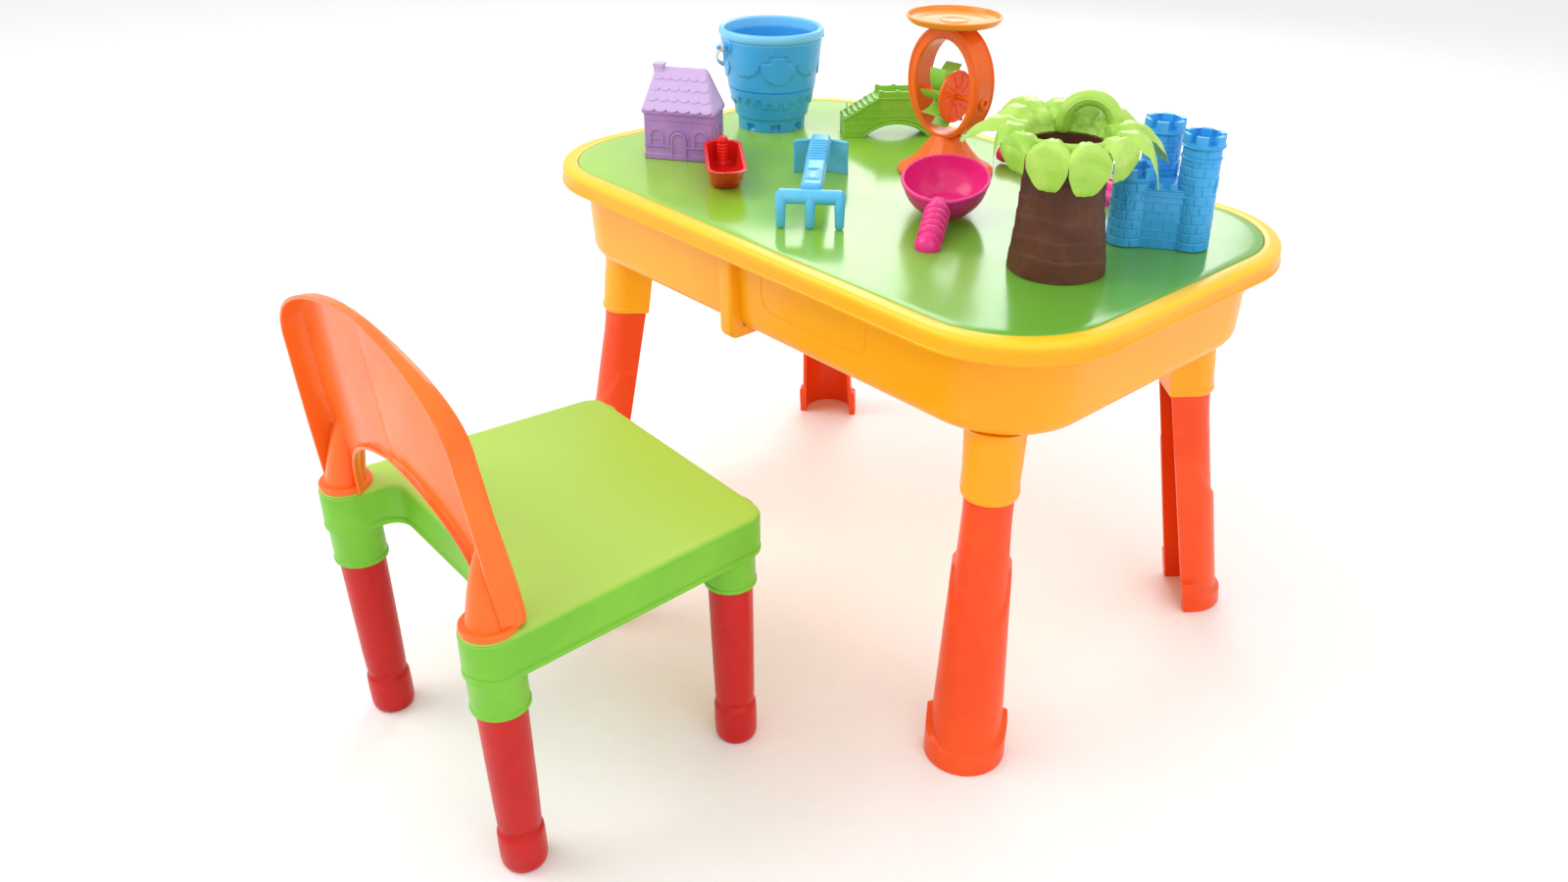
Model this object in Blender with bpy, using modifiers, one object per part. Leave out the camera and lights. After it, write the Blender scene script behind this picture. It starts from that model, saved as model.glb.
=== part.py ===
"""Kids sand and water table with a chair and its beach toys, as separate moulded parts.

Metres, +Z up. The table's long side runs along X and the chair stands on its -Y side.
Every part is built in the frame of its own empty, and the empties hang from one root empty,
which is shifted last so that the origin is the middle of the whole set's footprint on the floor.
"""

from math import atan2, cos, pi, radians, sin, sqrt

import bmesh
import bpy
from mathutils import Matrix, Vector

COLLECTION = "kids_table_and_chair"
GAP = 0.0003             # clearance between pieces that touch
MERGE = 0.00001

# table
LID_HALF = (0.3392, 0.2098)
LID_CORNER = 0.0986
LID_THICK = 0.0060
TABLE_HEIGHT = 0.4400    # top of the lid
RIM_WIDTH = 0.0180       # rim's flat border outside the lid
RIM_LIP = 0.0195         # height of the turned-down lip
LIP_WALL = 0.0028
TUB_INSET = 0.0260       # rim's outer face to the tub's wall
TUB_TAPER = 0.0045
TUB_WALL = 0.0025
TUB_DEPTH = 0.1050       # lid's top to the underside of the tub
TUB_FILLET = 0.0180
DIVIDER_X = -0.0280      # the divider and its keel stand left of the middle
DIVIDER_WIDTH = 0.0180
KEEL_HALF = 0.2100
KEEL_BELOW = 0.0080
KEEL_CORNER = 0.0100

# table legs
LEG_FOOT = (0.2949, 0.1886)
LEG_SOCKET = (0.2743, 0.1575)
SOCKET_BOTTOM = 0.2670
SOCKET_WALL = 0.0028
LEG_TURN = radians(51.0)
LEG_TOP_RADIUS = 0.0232
LEG_FOOT_RADIUS = 0.0338
LEG_TOP_STRAIGHT = 0.0240   # how far the channel's sides run on inwards
LEG_FOOT_STRAIGHT = 0.0120
LEG_WALL = 0.0030
FOOT_RADIUS = 0.0385
FOOT_HEIGHT = 0.0280
LEG_INSERT = 0.0580

# chair
CHAIR_PLACE = (0.0032, -0.4634)
CHAIR_TURN = radians(-2.75)
SEAT_HEIGHT = 0.2540
SEAT_FRONT = (0.1430, 0.1600)
SEAT_FRONT_CORNER = 0.0200
SEAT_REAR = -0.0700      # the rear edge between the posts
SEAT_APRON = 0.0400
SEAT_WALL = 0.0032
REAR_POST = (0.1343, -0.1060)
FRONT_POST = (0.1128, 0.1360)
POST_RADIUS = 0.0249
SLEEVE_WALL = 0.0035
SLEEVE_LENGTH = 0.0770   # seat top to the sleeve's lower end
CHAIR_LEG_RADIUS = 0.0205
CHAIR_LEG_INSERT = 0.0560
CHAIR_FOOT_RADIUS = 0.0200
REAR_FOOT = (0.1310, -0.1002)
FRONT_FOOT = (0.1206, 0.1346)
BACK_HEIGHT = 0.2215     # seat top to the backrest's top edge
BACK_HALF = 0.1520
BACK_TAPER = 0.0120      # how much narrower it is at the shoulder
BACK_SHOULDER = 0.1460   # seat top to where the sides start to round over
BACK_ROUND = 2.3
BACK_WALL = 0.0030
BACK_SIDE = (-0.0800, -0.1010)     # the panel's side edges in Y, at the seat and at the top
BACK_MIDDLE = (-0.0980, -0.1210)   # the panel's middle
BACK_REAR = (-0.1040, -0.1285)     # the flange's rear edge
ARCH_HALF = 0.1080
ARCH_HEIGHT = 0.0900
PLUG_HEIGHT = 0.0060
STEM_RADIUS = 0.0095
STEM_LENGTH = 0.0120
GUSSET_HEIGHT = 0.0760
GUSSET_RADIUS = 0.0135
GUSSET_FORWARD = 0.0080  # from the post's axis towards the panel

# toys: place on the lid, turn about Z, then their own sizes
HOUSE_PLACE, HOUSE_TURN = (-0.2373, -0.0927), radians(35.7)
HOUSE = (0.0790, 0.0450)
HOUSE_EAVE, HOUSE_RIDGE, HOUSE_HIP = 0.0520, 0.0920, 0.0115
CHIMNEY_TOP = 0.0990
BUCKET_PLACE, BUCKET_TURN = (-0.2682, 0.0605), radians(80.0)
BUCKET_BASE, BUCKET_RIM, BUCKET_HEIGHT = 0.0385, 0.0600, 0.1140
BUCKET_WALL = 0.0022
BAIL_PIVOT_HEIGHT, BAIL_ROOM, BAIL_WIRE, BAIL_REST = 0.0965, 0.0060, 0.0022, radians(55.0)
SCOOP_PLACE, SCOOP_TURN = (-0.1390, -0.1165), radians(-36.2)
SCOOP_LENGTH, SCOOP_WIDTH, SCOOP_HEIGHT, SCOOP_LIP = 0.1130, 0.0375, 0.0270, 0.0300
RAKE_PLACE, RAKE_TURN = (-0.0367, -0.0828), radians(-46.4)
RAKE_LENGTH, RAKE_PITCH, RAKE_HEAD_HEIGHT = 0.1855, 0.0280, 0.0340
TINE, HANDLE_WIDTH, HOE_CURVE = 0.0110, 0.0200, 0.0555
BRIDGE_PLACE, BRIDGE_TURN = (-0.1483, 0.1450), radians(53.9)
BRIDGE_LENGTH, BRIDGE_DEPTH, BRIDGE_END, BRIDGE_DECK = 0.1230, 0.0320, 0.0212, 0.0450
BRIDGE_ARCH_HALF, BRIDGE_ARCH_HEIGHT = 0.0375, 0.0150
MILL_PLACE, MILL_TURN = (-0.0140, 0.0860), radians(1.8)
MILL_BASE_RADIUS, MILL_NECK, MILL_NECK_HEIGHT = 0.0510, 0.0150, 0.0400
MILL_BAND = (0.0115, 0.0088)   # the ring's wall at its sides, and at its top and bottom
MILL_ROOM = (0.0035, 0.0162)   # between the wheel and the window
MILL_DEPTH, AXLE_RADIUS = 0.0280, 0.0030
DISH_RADIUS, DISH_HEIGHT = 0.0490, 0.0080
WHEEL_RADIUS, WHEEL_WIDTH, WHEEL_HUB, PADDLES = 0.0330, 0.0210, 0.0110, 8
WHEEL_MIDDLE = -0.0040   # the wheel's middle along the axle
DISC_RADIUS, DISC_THICK = 0.0270, 0.0025
LADLE_PLACE, LADLE_TURN = (0.0785, -0.0180), radians(-56.4)
LADLE_RADIUS, LADLE_DEPTH, LADLE_TILT, LADLE_WALL = 0.0420, 0.0400, radians(14.0), 0.0020
LADLE_HANDLE, LADLE_HANDLE_RADIUS = 0.0620, 0.0128
PALM_PLACE, PALM_TURN = (0.2370, -0.0440), 0.0
TRUNK_BASE, TRUNK_TOP, TRUNK_HEIGHT, TRUNK_WALL = 0.0450, 0.0350, 0.1120, 0.0025
LEAF_COUNT, LEAF_STEPS, LEAF_THICK, LEAF_RISE, LEAF_DROP = 9, 8, 0.0025, 0.0060, 0.0240
CROWN_SKIRT, LEAF_ROUND = 0.0140, 2.4
LEAF_LONG, LEAF_MIDDLE, LEAF_SHORT = 0.0860, 0.0700, 0.0560
LOOP, LOOP_RADIUS, LOOP_TURN, LOOP_SIDE = (0.0250, 0.0330), 0.0050, radians(30), radians(100)
SHOVEL_PLACE, SHOVEL_TURN = (0.0880, 0.1500), radians(-4.0)
SHOVEL_LENGTH, SHOVEL_BLADE, SHOVEL_ARCH, SHOVEL_WALL = 0.1700, 0.0700, 0.0200, 0.0022
CASTLE_PLACE, CASTLE_TURN = (0.2610, 0.0840), radians(36.0)
TOWER_RADIUS, TOWER_TALL, TOWER_LOW, CASTLE_WALL_HEIGHT = 0.0185, 0.1080, 0.0740, 0.0620
MOULD_WALL = 0.0025

# what follows from the sizes above
RIM_HALF = tuple(side + RIM_WIDTH + GAP for side in LID_HALF)
RIM_CORNER = LID_CORNER + RIM_WIDTH
TUB_BOTTOM = TABLE_HEIGHT - TUB_DEPTH
LEDGE = TABLE_HEIGHT - LID_THICK - GAP
LID_TOP = TABLE_HEIGHT + GAP
SLEEVE_BOTTOM = SEAT_HEIGHT - SLEEVE_LENGTH
SLEEVE_RADIUS = CHAIR_LEG_RADIUS + GAP + SLEEVE_WALL
BAIL_RADIUS = BUCKET_RIM + BAIL_ROOM
MILL_WINDOW = tuple(WHEEL_RADIUS + room for room in MILL_ROOM)
MILL_RING = tuple(window + band for window, band in zip(MILL_WINDOW, MILL_BAND))
MILL_WINDOW_HEIGHT = MILL_NECK_HEIGHT + 0.0023 + MILL_WINDOW[1]
MILL_AXLE_HEIGHT = MILL_WINDOW_HEIGHT - 0.0100
MILL_RING_HEIGHT = MILL_WINDOW_HEIGHT + 0.0045

COLOURS = {
    "yellow": ((0.98, 0.47, 0.02), 0.32),
    "lime": ((0.33, 0.60, 0.04), 0.28),
    "orange": ((0.90, 0.10, 0.015), 0.34),
    "amber": ((0.95, 0.22, 0.02), 0.33),
    "green": ((0.28, 0.58, 0.06), 0.36),
    "red": ((0.58, 0.012, 0.014), 0.36),
    "purple": ((0.36, 0.20, 0.55), 0.36),
    "blue": ((0.04, 0.34, 0.72), 0.33),
    "sky": ((0.22, 0.56, 0.90), 0.34),
    "magenta": ((0.80, 0.02, 0.20), 0.30),
    "brown": ((0.12, 0.035, 0.02), 0.45),
    "white": ((0.78, 0.78, 0.80), 0.40),
}


# ---------------------------------------------------------------- helpers

def clear_scene():
    for old in list(bpy.data.objects):
        bpy.data.objects.remove(old)


def material(colour):
    found = bpy.data.materials.get(colour)
    if found:
        return found
    made = bpy.data.materials.new(colour)
    made.use_nodes = True
    shader = made.node_tree.nodes["Principled BSDF"]
    rgb, roughness = COLOURS[colour]
    shader.inputs["Base Color"].default_value = (*rgb, 1.0)
    shader.inputs["Roughness"].default_value = roughness
    shader.inputs["Metallic"].default_value = 0.0
    return made


def empty(name, parent=None, place=(0, 0, 0), turn=0.0):
    made = bpy.data.objects.new(name, None)
    parts.objects.link(made)
    made.parent = parent
    made.location = place
    made.rotation_euler = (0, 0, turn)
    return made


def toy(name, place, turn):
    return empty(name, root, (*place, LID_TOP), turn)


def from_bmesh(bm):
    bmesh.ops.recalc_face_normals(bm, faces=bm.faces)
    mesh = bpy.data.meshes.new("shape")
    bm.to_mesh(mesh)
    bm.free()
    made = bpy.data.objects.new("shape", mesh)
    parts.objects.link(made)
    return made


def finish(shape, name, colour, parent, place=(0, 0, 0), smooth=radians(35)):
    shape.name = name
    shape.data.name = name
    shape.data.materials.clear()
    shape.data.materials.append(material(colour))
    shape.data.shade_smooth()
    shape.data.set_sharp_from_angle(angle=smooth)
    shape.parent = parent
    shape.location = place
    return shape


def baked(shape):
    """The object with its modifiers applied, or the curve made a mesh with its caps welded."""
    bpy.context.view_layer.update()
    evaluated = shape.evaluated_get(bpy.context.evaluated_depsgraph_get())
    mesh = bpy.data.meshes.new_from_object(evaluated)
    bm = bmesh.new()
    bm.from_mesh(mesh)
    bm.transform(shape.matrix_world)
    bmesh.ops.remove_doubles(bm, verts=bm.verts, dist=MERGE)
    bpy.data.objects.remove(shape)
    return from_bmesh(bm)


def boolean(target, other, operation):
    modifier = target.modifiers.new(operation.lower(), "BOOLEAN")
    modifier.operation = operation
    modifier.object = other
    result = baked(target)
    bpy.data.objects.remove(other)
    return result


def union(target, *others):
    for other in others:
        target = boolean(target, other, "UNION")
    return target


def cut(target, *cutters):
    for cutter in cutters:
        target = boolean(target, cutter, "DIFFERENCE")
    return target


def moved(shape, place=(0, 0, 0), turn=(0, 0, 0)):
    matrix = Matrix.Translation(place)
    for angle, axis in zip(turn, "XYZ"):
        if angle:
            matrix = matrix @ Matrix.Rotation(angle, 4, axis)
    shape.data.transform(matrix)
    return shape


def loft(rings):
    """A solid through rings of the same number of points, with flat ends."""
    bm = bmesh.new()
    loops = [[bm.verts.new(point) for point in ring] for ring in rings]
    for low, high in zip(loops, loops[1:]):
        for i in range(len(low)):
            j = (i + 1) % len(low)
            bm.faces.new((low[i], low[j], high[j], high[i]))
    bm.faces.new(loops[0])
    bm.faces.new(loops[-1])
    return from_bmesh(bm)


def arc(centre, radius, start, end, steps):
    turns = [start + (end - start) * i / steps for i in range(steps + 1)]
    return [(centre[0] + radius * cos(t), centre[1] + radius * sin(t)) for t in turns]


def rounded_rectangle(half_x, half_y, radius, steps=7, centre=(0, 0)):
    points = []
    for quarter in range(4):
        side_x = 1 if quarter in (0, 3) else -1
        side_y = 1 if quarter in (0, 1) else -1
        middle = (centre[0] + side_x * (half_x - radius), centre[1] + side_y * (half_y - radius))
        points += arc(middle, radius, quarter * pi / 2, (quarter + 1) * pi / 2, steps)
    return points


def at_height(points, z):
    return [(x, y, z) for x, y in points]


def box(low, high):
    ring = [(low[0], low[1]), (high[0], low[1]), (high[0], high[1]), (low[0], high[1])]
    return loft([at_height(ring, low[2]), at_height(ring, high[2])])


def cylinder(radius, low, high, centre=(0, 0), sides=24, top_radius=None):
    bm = bmesh.new()
    bmesh.ops.create_cone(
        bm, cap_ends=True, segments=sides, radius1=radius,
        radius2=radius if top_radius is None else top_radius, depth=high - low)
    bm.transform(Matrix.Translation((*centre, (low + high) / 2)))
    return from_bmesh(bm)


def turned(profile, sides=28):
    """A closed or axis-to-axis profile of (radius, height), screwed round Z."""
    closed = profile[0][0] > MERGE
    mesh = bpy.data.meshes.new("profile")
    count = len(profile)
    edges = [(i, i + 1) for i in range(count - 1)] + ([(count - 1, 0)] if closed else [])
    mesh.from_pydata([(r, 0, z) for r, z in profile], edges, [])
    shape = bpy.data.objects.new("profile", mesh)
    parts.objects.link(shape)
    screw = shape.modifiers.new("turn", "SCREW")
    screw.steps = sides
    screw.render_steps = sides
    screw.use_merge_vertices = True
    screw.merge_threshold = MERGE
    return baked(shape)


def extruded(points, low, high):
    """A flat outline made solid between two heights."""
    return loft([at_height(points, low), at_height(points, high)])


def upright(points, depth_low, depth_high):
    """An outline of (x, z), made solid along Y."""
    return loft([[(x, y, z) for x, z in points] for y in (depth_low, depth_high)])


def tube(points, radius, sides=10):
    curve = bpy.data.curves.new("tube", "CURVE")
    curve.dimensions = "3D"
    curve.bevel_depth = radius
    curve.bevel_resolution = max(0, sides // 2 - 2)
    curve.use_fill_caps = True
    spline = curve.splines.new("POLY")
    spline.points.add(len(points) - 1)
    for point, target in zip(spline.points, points):
        point.co = (*target, 1)
    shape = bpy.data.objects.new("tube", curve)
    parts.objects.link(shape)
    return baked(shape)


# ---------------------------------------------------------------- table

def rim_ring(inset, z):
    half_x, half_y = RIM_HALF[0] - inset, RIM_HALF[1] - inset
    return at_height(rounded_rectangle(half_x, half_y, RIM_CORNER - inset), z)


def tub_wall(z):
    """Inset of the tub's outer wall at a height."""
    depth = (TABLE_HEIGHT - z) / TUB_DEPTH
    return TUB_INSET + TUB_TAPER * depth


def basins():
    """The hollow of both basins, with the divider left standing between them."""
    rings = []
    floor = TUB_BOTTOM + TUB_WALL
    for z, extra in ((floor, TUB_FILLET * 0.8), (floor + TUB_FILLET * 0.3, TUB_FILLET * 0.3),
                     (floor + TUB_FILLET, 0), (LEDGE + GAP, 0)):
        rings.append(rim_ring(tub_wall(z) + TUB_WALL + extra, z))
    divider = box((DIVIDER_X - DIVIDER_WIDTH / 2, -RIM_HALF[1], 0),
                  (DIVIDER_X + DIVIDER_WIDTH / 2, RIM_HALF[1], TABLE_HEIGHT + 0.01))
    return cut(loft(rings), divider)


def leg_axis(z):
    """Centre of a leg's round part at a height, for the leg at +X +Y."""
    share = z / SOCKET_BOTTOM
    return tuple(foot + (top - foot) * share for foot, top in zip(LEG_FOOT, LEG_SOCKET))


def leg_radius(z):
    return LEG_FOOT_RADIUS + (LEG_TOP_RADIUS - LEG_FOOT_RADIUS) * min(1.0, z / SOCKET_BOTTOM)


def leg_straight(z):
    return LEG_FOOT_STRAIGHT + (LEG_TOP_STRAIGHT - LEG_FOOT_STRAIGHT) * min(1.0, z / SOCKET_BOTTOM)


def corner_points(points, z, side):
    """Points along and across a leg's direction, placed at its axis for one corner."""
    axis = leg_axis(z)
    placed = []
    for along, across in points:
        x = axis[0] + along * cos(LEG_TURN) - across * sin(LEG_TURN)
        y = axis[1] + along * sin(LEG_TURN) + across * cos(LEG_TURN)
        placed.append((side[0] * x, side[1] * y, z))
    return placed


def d_shape(radius, straight, steps=10):
    return [(-straight, -radius)] + arc((0, 0), radius, -pi / 2, pi / 2, steps) + [(-straight, radius)]


def socket(side):
    """The sleeve under a corner, still solid."""
    radius = LEG_TOP_RADIUS + GAP + SOCKET_WALL
    straight = LEG_TOP_STRAIGHT + GAP + SOCKET_WALL
    top = TUB_BOTTOM + TUB_WALL * 0.6
    levels = ((SOCKET_BOTTOM, radius - 0.0020), (SOCKET_BOTTOM + 0.0030, radius), (top, radius + 0.0020))
    return loft([corner_points(d_shape(r, straight), z, side) for z, r in levels])


def socket_hole(side):
    levels = (SOCKET_BOTTOM - 0.01, SOCKET_BOTTOM, leg_top() + GAP)
    return loft([corner_points(
        d_shape(leg_radius(z) + GAP, leg_straight(z) + GAP), z, side) for z in levels])


def leg_top():
    return min(SOCKET_BOTTOM + LEG_INSERT, TUB_BOTTOM - TUB_WALL)


CORNERS = {"front_right": (1, -1), "front_left": (-1, -1), "rear_left": (-1, 1), "rear_right": (1, 1)}


def make_tub():
    fillet = TUB_BOTTOM + TUB_FILLET
    lip_low = TABLE_HEIGHT - RIM_LIP
    under_rim = LEDGE - TUB_WALL
    body = loft([
        rim_ring(tub_wall(TUB_BOTTOM) + TUB_FILLET, TUB_BOTTOM),
        rim_ring(tub_wall(fillet) + TUB_FILLET * 0.38, TUB_BOTTOM + TUB_FILLET * 0.14),
        rim_ring(tub_wall(fillet) + TUB_FILLET * 0.08, TUB_BOTTOM + TUB_FILLET * 0.55),
        rim_ring(tub_wall(fillet), fillet),
        rim_ring(tub_wall(under_rim), under_rim),
        rim_ring(LIP_WALL, under_rim),
        rim_ring(LIP_WALL, lip_low),
        rim_ring(0, lip_low),
        rim_ring(0, TABLE_HEIGHT - 0.0060),
        rim_ring(0.0020, TABLE_HEIGHT - 0.0018),
        rim_ring(0.0060, TABLE_HEIGHT),
        rim_ring(RIM_WIDTH * 0.8, TABLE_HEIGHT),
    ])
    keel_low = TUB_BOTTOM - KEEL_BELOW
    outline = [(KEEL_HALF, under_rim + TUB_WALL / 2), (-KEEL_HALF, under_rim + TUB_WALL / 2)]
    outline += arc((-KEEL_HALF + KEEL_CORNER, keel_low + KEEL_CORNER), KEEL_CORNER, pi, 1.5 * pi, 5)
    outline += arc((KEEL_HALF - KEEL_CORNER, keel_low + KEEL_CORNER), KEEL_CORNER, 1.5 * pi, 2 * pi, 5)
    sides = [DIVIDER_X + side * DIVIDER_WIDTH / 2 for side in (-1, 1)]
    keel = loft([[(x, y, z) for y, z in outline] for x in sides])
    body = union(body, keel, *[socket(side) for side in CORNERS.values()])
    recess = [at_height(rounded_rectangle(*(h + GAP for h in LID_HALF), LID_CORNER), z)
              for z in (LEDGE, TABLE_HEIGHT + 0.01)]
    body = cut(body, loft(recess), basins(), *[socket_hole(side) for side in CORNERS.values()])
    return finish(body, "tub", "yellow", table)


def make_lid():
    bevel = 0.0010
    low = TABLE_HEIGHT - LID_THICK
    levels = ((0, low), (0, TABLE_HEIGHT - bevel), (bevel, TABLE_HEIGHT))
    rings = [at_height(rounded_rectangle(LID_HALF[0] - inset, LID_HALF[1] - inset, LID_CORNER - inset), z)
             for inset, z in levels]
    return finish(loft(rings), "lid", "lime", table)


def make_table_leg(name, side):
    rings = []
    foot_inner = LEG_FOOT_RADIUS - LEG_WALL
    levels = [(0, FOOT_RADIUS), (FOOT_HEIGHT, FOOT_RADIUS - 0.0005)]
    levels += [(z, leg_radius(z)) for z in (FOOT_HEIGHT + 0.0004, SOCKET_BOTTOM, leg_top())]
    for z, outer in levels:
        inner = min(foot_inner, leg_radius(z) - LEG_WALL)
        straight = leg_straight(z)
        section = d_shape(outer, straight) + list(reversed(d_shape(inner, straight)))
        rings.append(corner_points(section, z, side))
    return finish(loft(rings), "table_leg_" + name, "orange", table)


# ---------------------------------------------------------------- chair

def seat_outline(inset=0.0):
    """The seat plate seen from above; the rear corners are the posts."""
    half, front = SEAT_FRONT[0] - inset, SEAT_FRONT[1] - inset
    corner = SEAT_FRONT_CORNER - inset
    radius = POST_RADIUS - inset
    rear = SEAT_REAR + inset
    slope = atan2(REAR_POST[0] + POST_RADIUS - SEAT_FRONT[0], SEAT_FRONT[1] - REAR_POST[1])
    right = arc((half - corner, front - corner), corner, pi / 2, slope, 6)
    right += arc(REAR_POST, radius, slope, -pi, 12)
    fillet = 0.018
    inner_x = REAR_POST[0] - radius
    right += arc((inner_x - fillet, rear - fillet), fillet, 0, pi / 2, 4)
    left = [(-x, y) for x, y in reversed(right)]
    return right + left


def leg_shift(place, foot, z):
    share = z / SEAT_HEIGHT
    return tuple(f + (p - f) * share for p, f in zip(place, foot))


def sheared(shape, place, foot):
    """Leans a shape built on the Z axis so that it runs from the foot to its place under the seat."""
    for vertex in shape.data.vertices:
        x, y = leg_shift(place, foot, vertex.co.z)
        vertex.co.x += x
        vertex.co.y += y
    return shape


CHAIR_CORNERS = {
    "rear_right": ((REAR_POST[0], REAR_POST[1]), REAR_FOOT),
    "rear_left": ((-REAR_POST[0], REAR_POST[1]), (-REAR_FOOT[0], REAR_FOOT[1])),
    "front_right": ((FRONT_POST[0], FRONT_POST[1]), FRONT_FOOT),
    "front_left": ((-FRONT_POST[0], FRONT_POST[1]), (-FRONT_FOOT[0], FRONT_FOOT[1])),
}


def chair_leg_top():
    return SLEEVE_BOTTOM + CHAIR_LEG_INSERT


def make_seat():
    bottom = SEAT_HEIGHT - SEAT_APRON
    edge = 0.0025
    plate = loft([at_height(seat_outline(), bottom), at_height(seat_outline(), SEAT_HEIGHT - edge),
                  at_height(seat_outline(edge * 0.8), SEAT_HEIGHT)])
    hollow = extruded(seat_outline(SEAT_WALL), bottom - 0.01, SEAT_HEIGHT - SEAT_WALL)
    plate = cut(plate, hollow)
    for place, foot in CHAIR_CORNERS.values():
        top = SEAT_HEIGHT - SEAT_WALL / 2
        plate = union(plate, sheared(cylinder(SLEEVE_RADIUS, SLEEVE_BOTTOM, top), place, foot))
    for place, foot in CHAIR_CORNERS.values():
        bore = cylinder(CHAIR_LEG_RADIUS + GAP, SLEEVE_BOTTOM - 0.01, chair_leg_top() + GAP)
        plate = cut(plate, sheared(bore, place, foot))
    for side in (-1, 1):
        centre = (side * REAR_POST[0], REAR_POST[1])
        hole = cylinder(STEM_RADIUS + GAP, SEAT_HEIGHT - STEM_LENGTH - GAP, SEAT_HEIGHT + 0.01, centre)
        plate = cut(plate, hole)
    return finish(plate, "chair_seat", "green", chair)


def make_chair_leg(name, place, foot):
    shaft, neck = CHAIR_LEG_RADIUS, CHAIR_LEG_RADIUS * 0.84
    profile = [
        (0, chair_leg_top()), (shaft - 0.001, chair_leg_top()), (shaft, chair_leg_top() - 0.001),
        (shaft, SLEEVE_BOTTOM), (shaft * 0.90, 0.0480), (neck, 0.0450), (neck, 0.0420),
        (CHAIR_FOOT_RADIUS, 0.0385), (CHAIR_FOOT_RADIUS, 0.0050), (CHAIR_FOOT_RADIUS - 0.0035, 0), (0, 0)]
    leg = sheared(turned(profile, 20), place, foot)
    return finish(leg, "chair_leg_" + name, "red", chair)


def back_half_width(share):
    """Half-width of the backrest, from the seat (0) to its top edge (1)."""
    shoulder = BACK_SHOULDER / BACK_HEIGHT
    if share <= shoulder:
        return BACK_HALF - BACK_TAPER * (share / shoulder) ** 1.5
    lift = (share - shoulder) / (1 - shoulder)
    return (BACK_HALF - BACK_TAPER) * sqrt(max(0.0, 1 - lift ** BACK_ROUND))


def arch_half_width(share):
    height = share * BACK_HEIGHT / ARCH_HEIGHT
    return ARCH_HALF * sqrt(1 - height * height) if height < 1 else 0.0


def leaning(ends, share):
    return ends[0] + (ends[1] - ends[0]) * share


def back_y(x, share, flange):
    """The panel's surface, bowed forward at the sides (flange 0), or the flange's rear edge (1)."""
    middle = leaning(BACK_MIDDLE, share)
    if flange:
        return leaning(BACK_REAR, share)
    return middle + (leaning(BACK_SIDE, share) - middle) * (x / BACK_HALF) ** 2


def make_backrest():
    """A bowed panel with an arch opening and a flange round its outer edge, thickened to a shell."""
    arch_share = ARCH_HEIGHT / BACK_HEIGHT
    lift = (PLUG_HEIGHT / 2 + GAP) / BACK_HEIGHT
    shares = [lift + (arch_share - lift) * sin(i / 5 * pi / 2) for i in range(6)]
    shoulder = BACK_SHOULDER / BACK_HEIGHT
    shares += [arch_share + (shoulder - arch_share) * i / 2 for i in range(1, 3)]
    steps, last = 8, 0.99
    shares += [shoulder + (1 - shoulder) * last * sin(i / steps * pi / 2) for i in range(1, steps + 1)]
    columns = 5
    bm = bmesh.new()
    rows = []
    for share in shares:
        z = SEAT_HEIGHT + share * BACK_HEIGHT
        inner, outer = arch_half_width(share), back_half_width(share)
        xs = [inner + (outer - inner) * i / columns for i in range(columns + 1)]
        row = [bm.verts.new((x, back_y(x, share, 0), z)) for x in xs]
        row.append(bm.verts.new((xs[-1], back_y(xs[-1], share, 1), z)))
        rows.append(row)
    top = rows[-1]
    rows.append([bm.verts.new((v.co.x, back_y(v.co.x, 1, 1), v.co.z)) for v in top[:-1]] + [top[-1]])
    for low, high in zip(rows, rows[1:]):
        for i in range(len(low) - 1):
            corners = []
            for vertex in (low[i], low[i + 1], high[i + 1], high[i]):
                if vertex not in corners:
                    corners.append(vertex)
            bm.faces.new(corners)
    bmesh.ops.recalc_face_normals(bm, faces=bm.faces)
    mesh = bpy.data.meshes.new("back")
    bm.to_mesh(mesh)
    bm.free()
    shell = bpy.data.objects.new("back", mesh)
    parts.objects.link(shell)
    mirror = shell.modifiers.new("mirror", "MIRROR")
    mirror.merge_threshold = MERGE
    mirror.use_clip = True
    thick = shell.modifiers.new("wall", "SOLIDIFY")
    thick.thickness = BACK_WALL
    thick.offset = 0
    shell = baked(shell)
    disc_low = SEAT_HEIGHT + GAP
    for side in (-1, 1):
        centre = (side * REAR_POST[0], REAR_POST[1])
        disc = cylinder(POST_RADIUS - 0.0015, disc_low, disc_low + PLUG_HEIGHT, centre)
        stem = cylinder(STEM_RADIUS, SEAT_HEIGHT - STEM_LENGTH, disc_low + 0.003, centre, 16)
        gusset = cylinder(GUSSET_RADIUS, disc_low + 0.003, SEAT_HEIGHT + GUSSET_HEIGHT,
                          (centre[0], centre[1] + GUSSET_FORWARD), 16, GUSSET_RADIUS * 0.6)
        shell = union(shell, disc, stem, gusset)
    return finish(shell, "chair_backrest", "amber", chair)


# ---------------------------------------------------------------- toys

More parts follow.
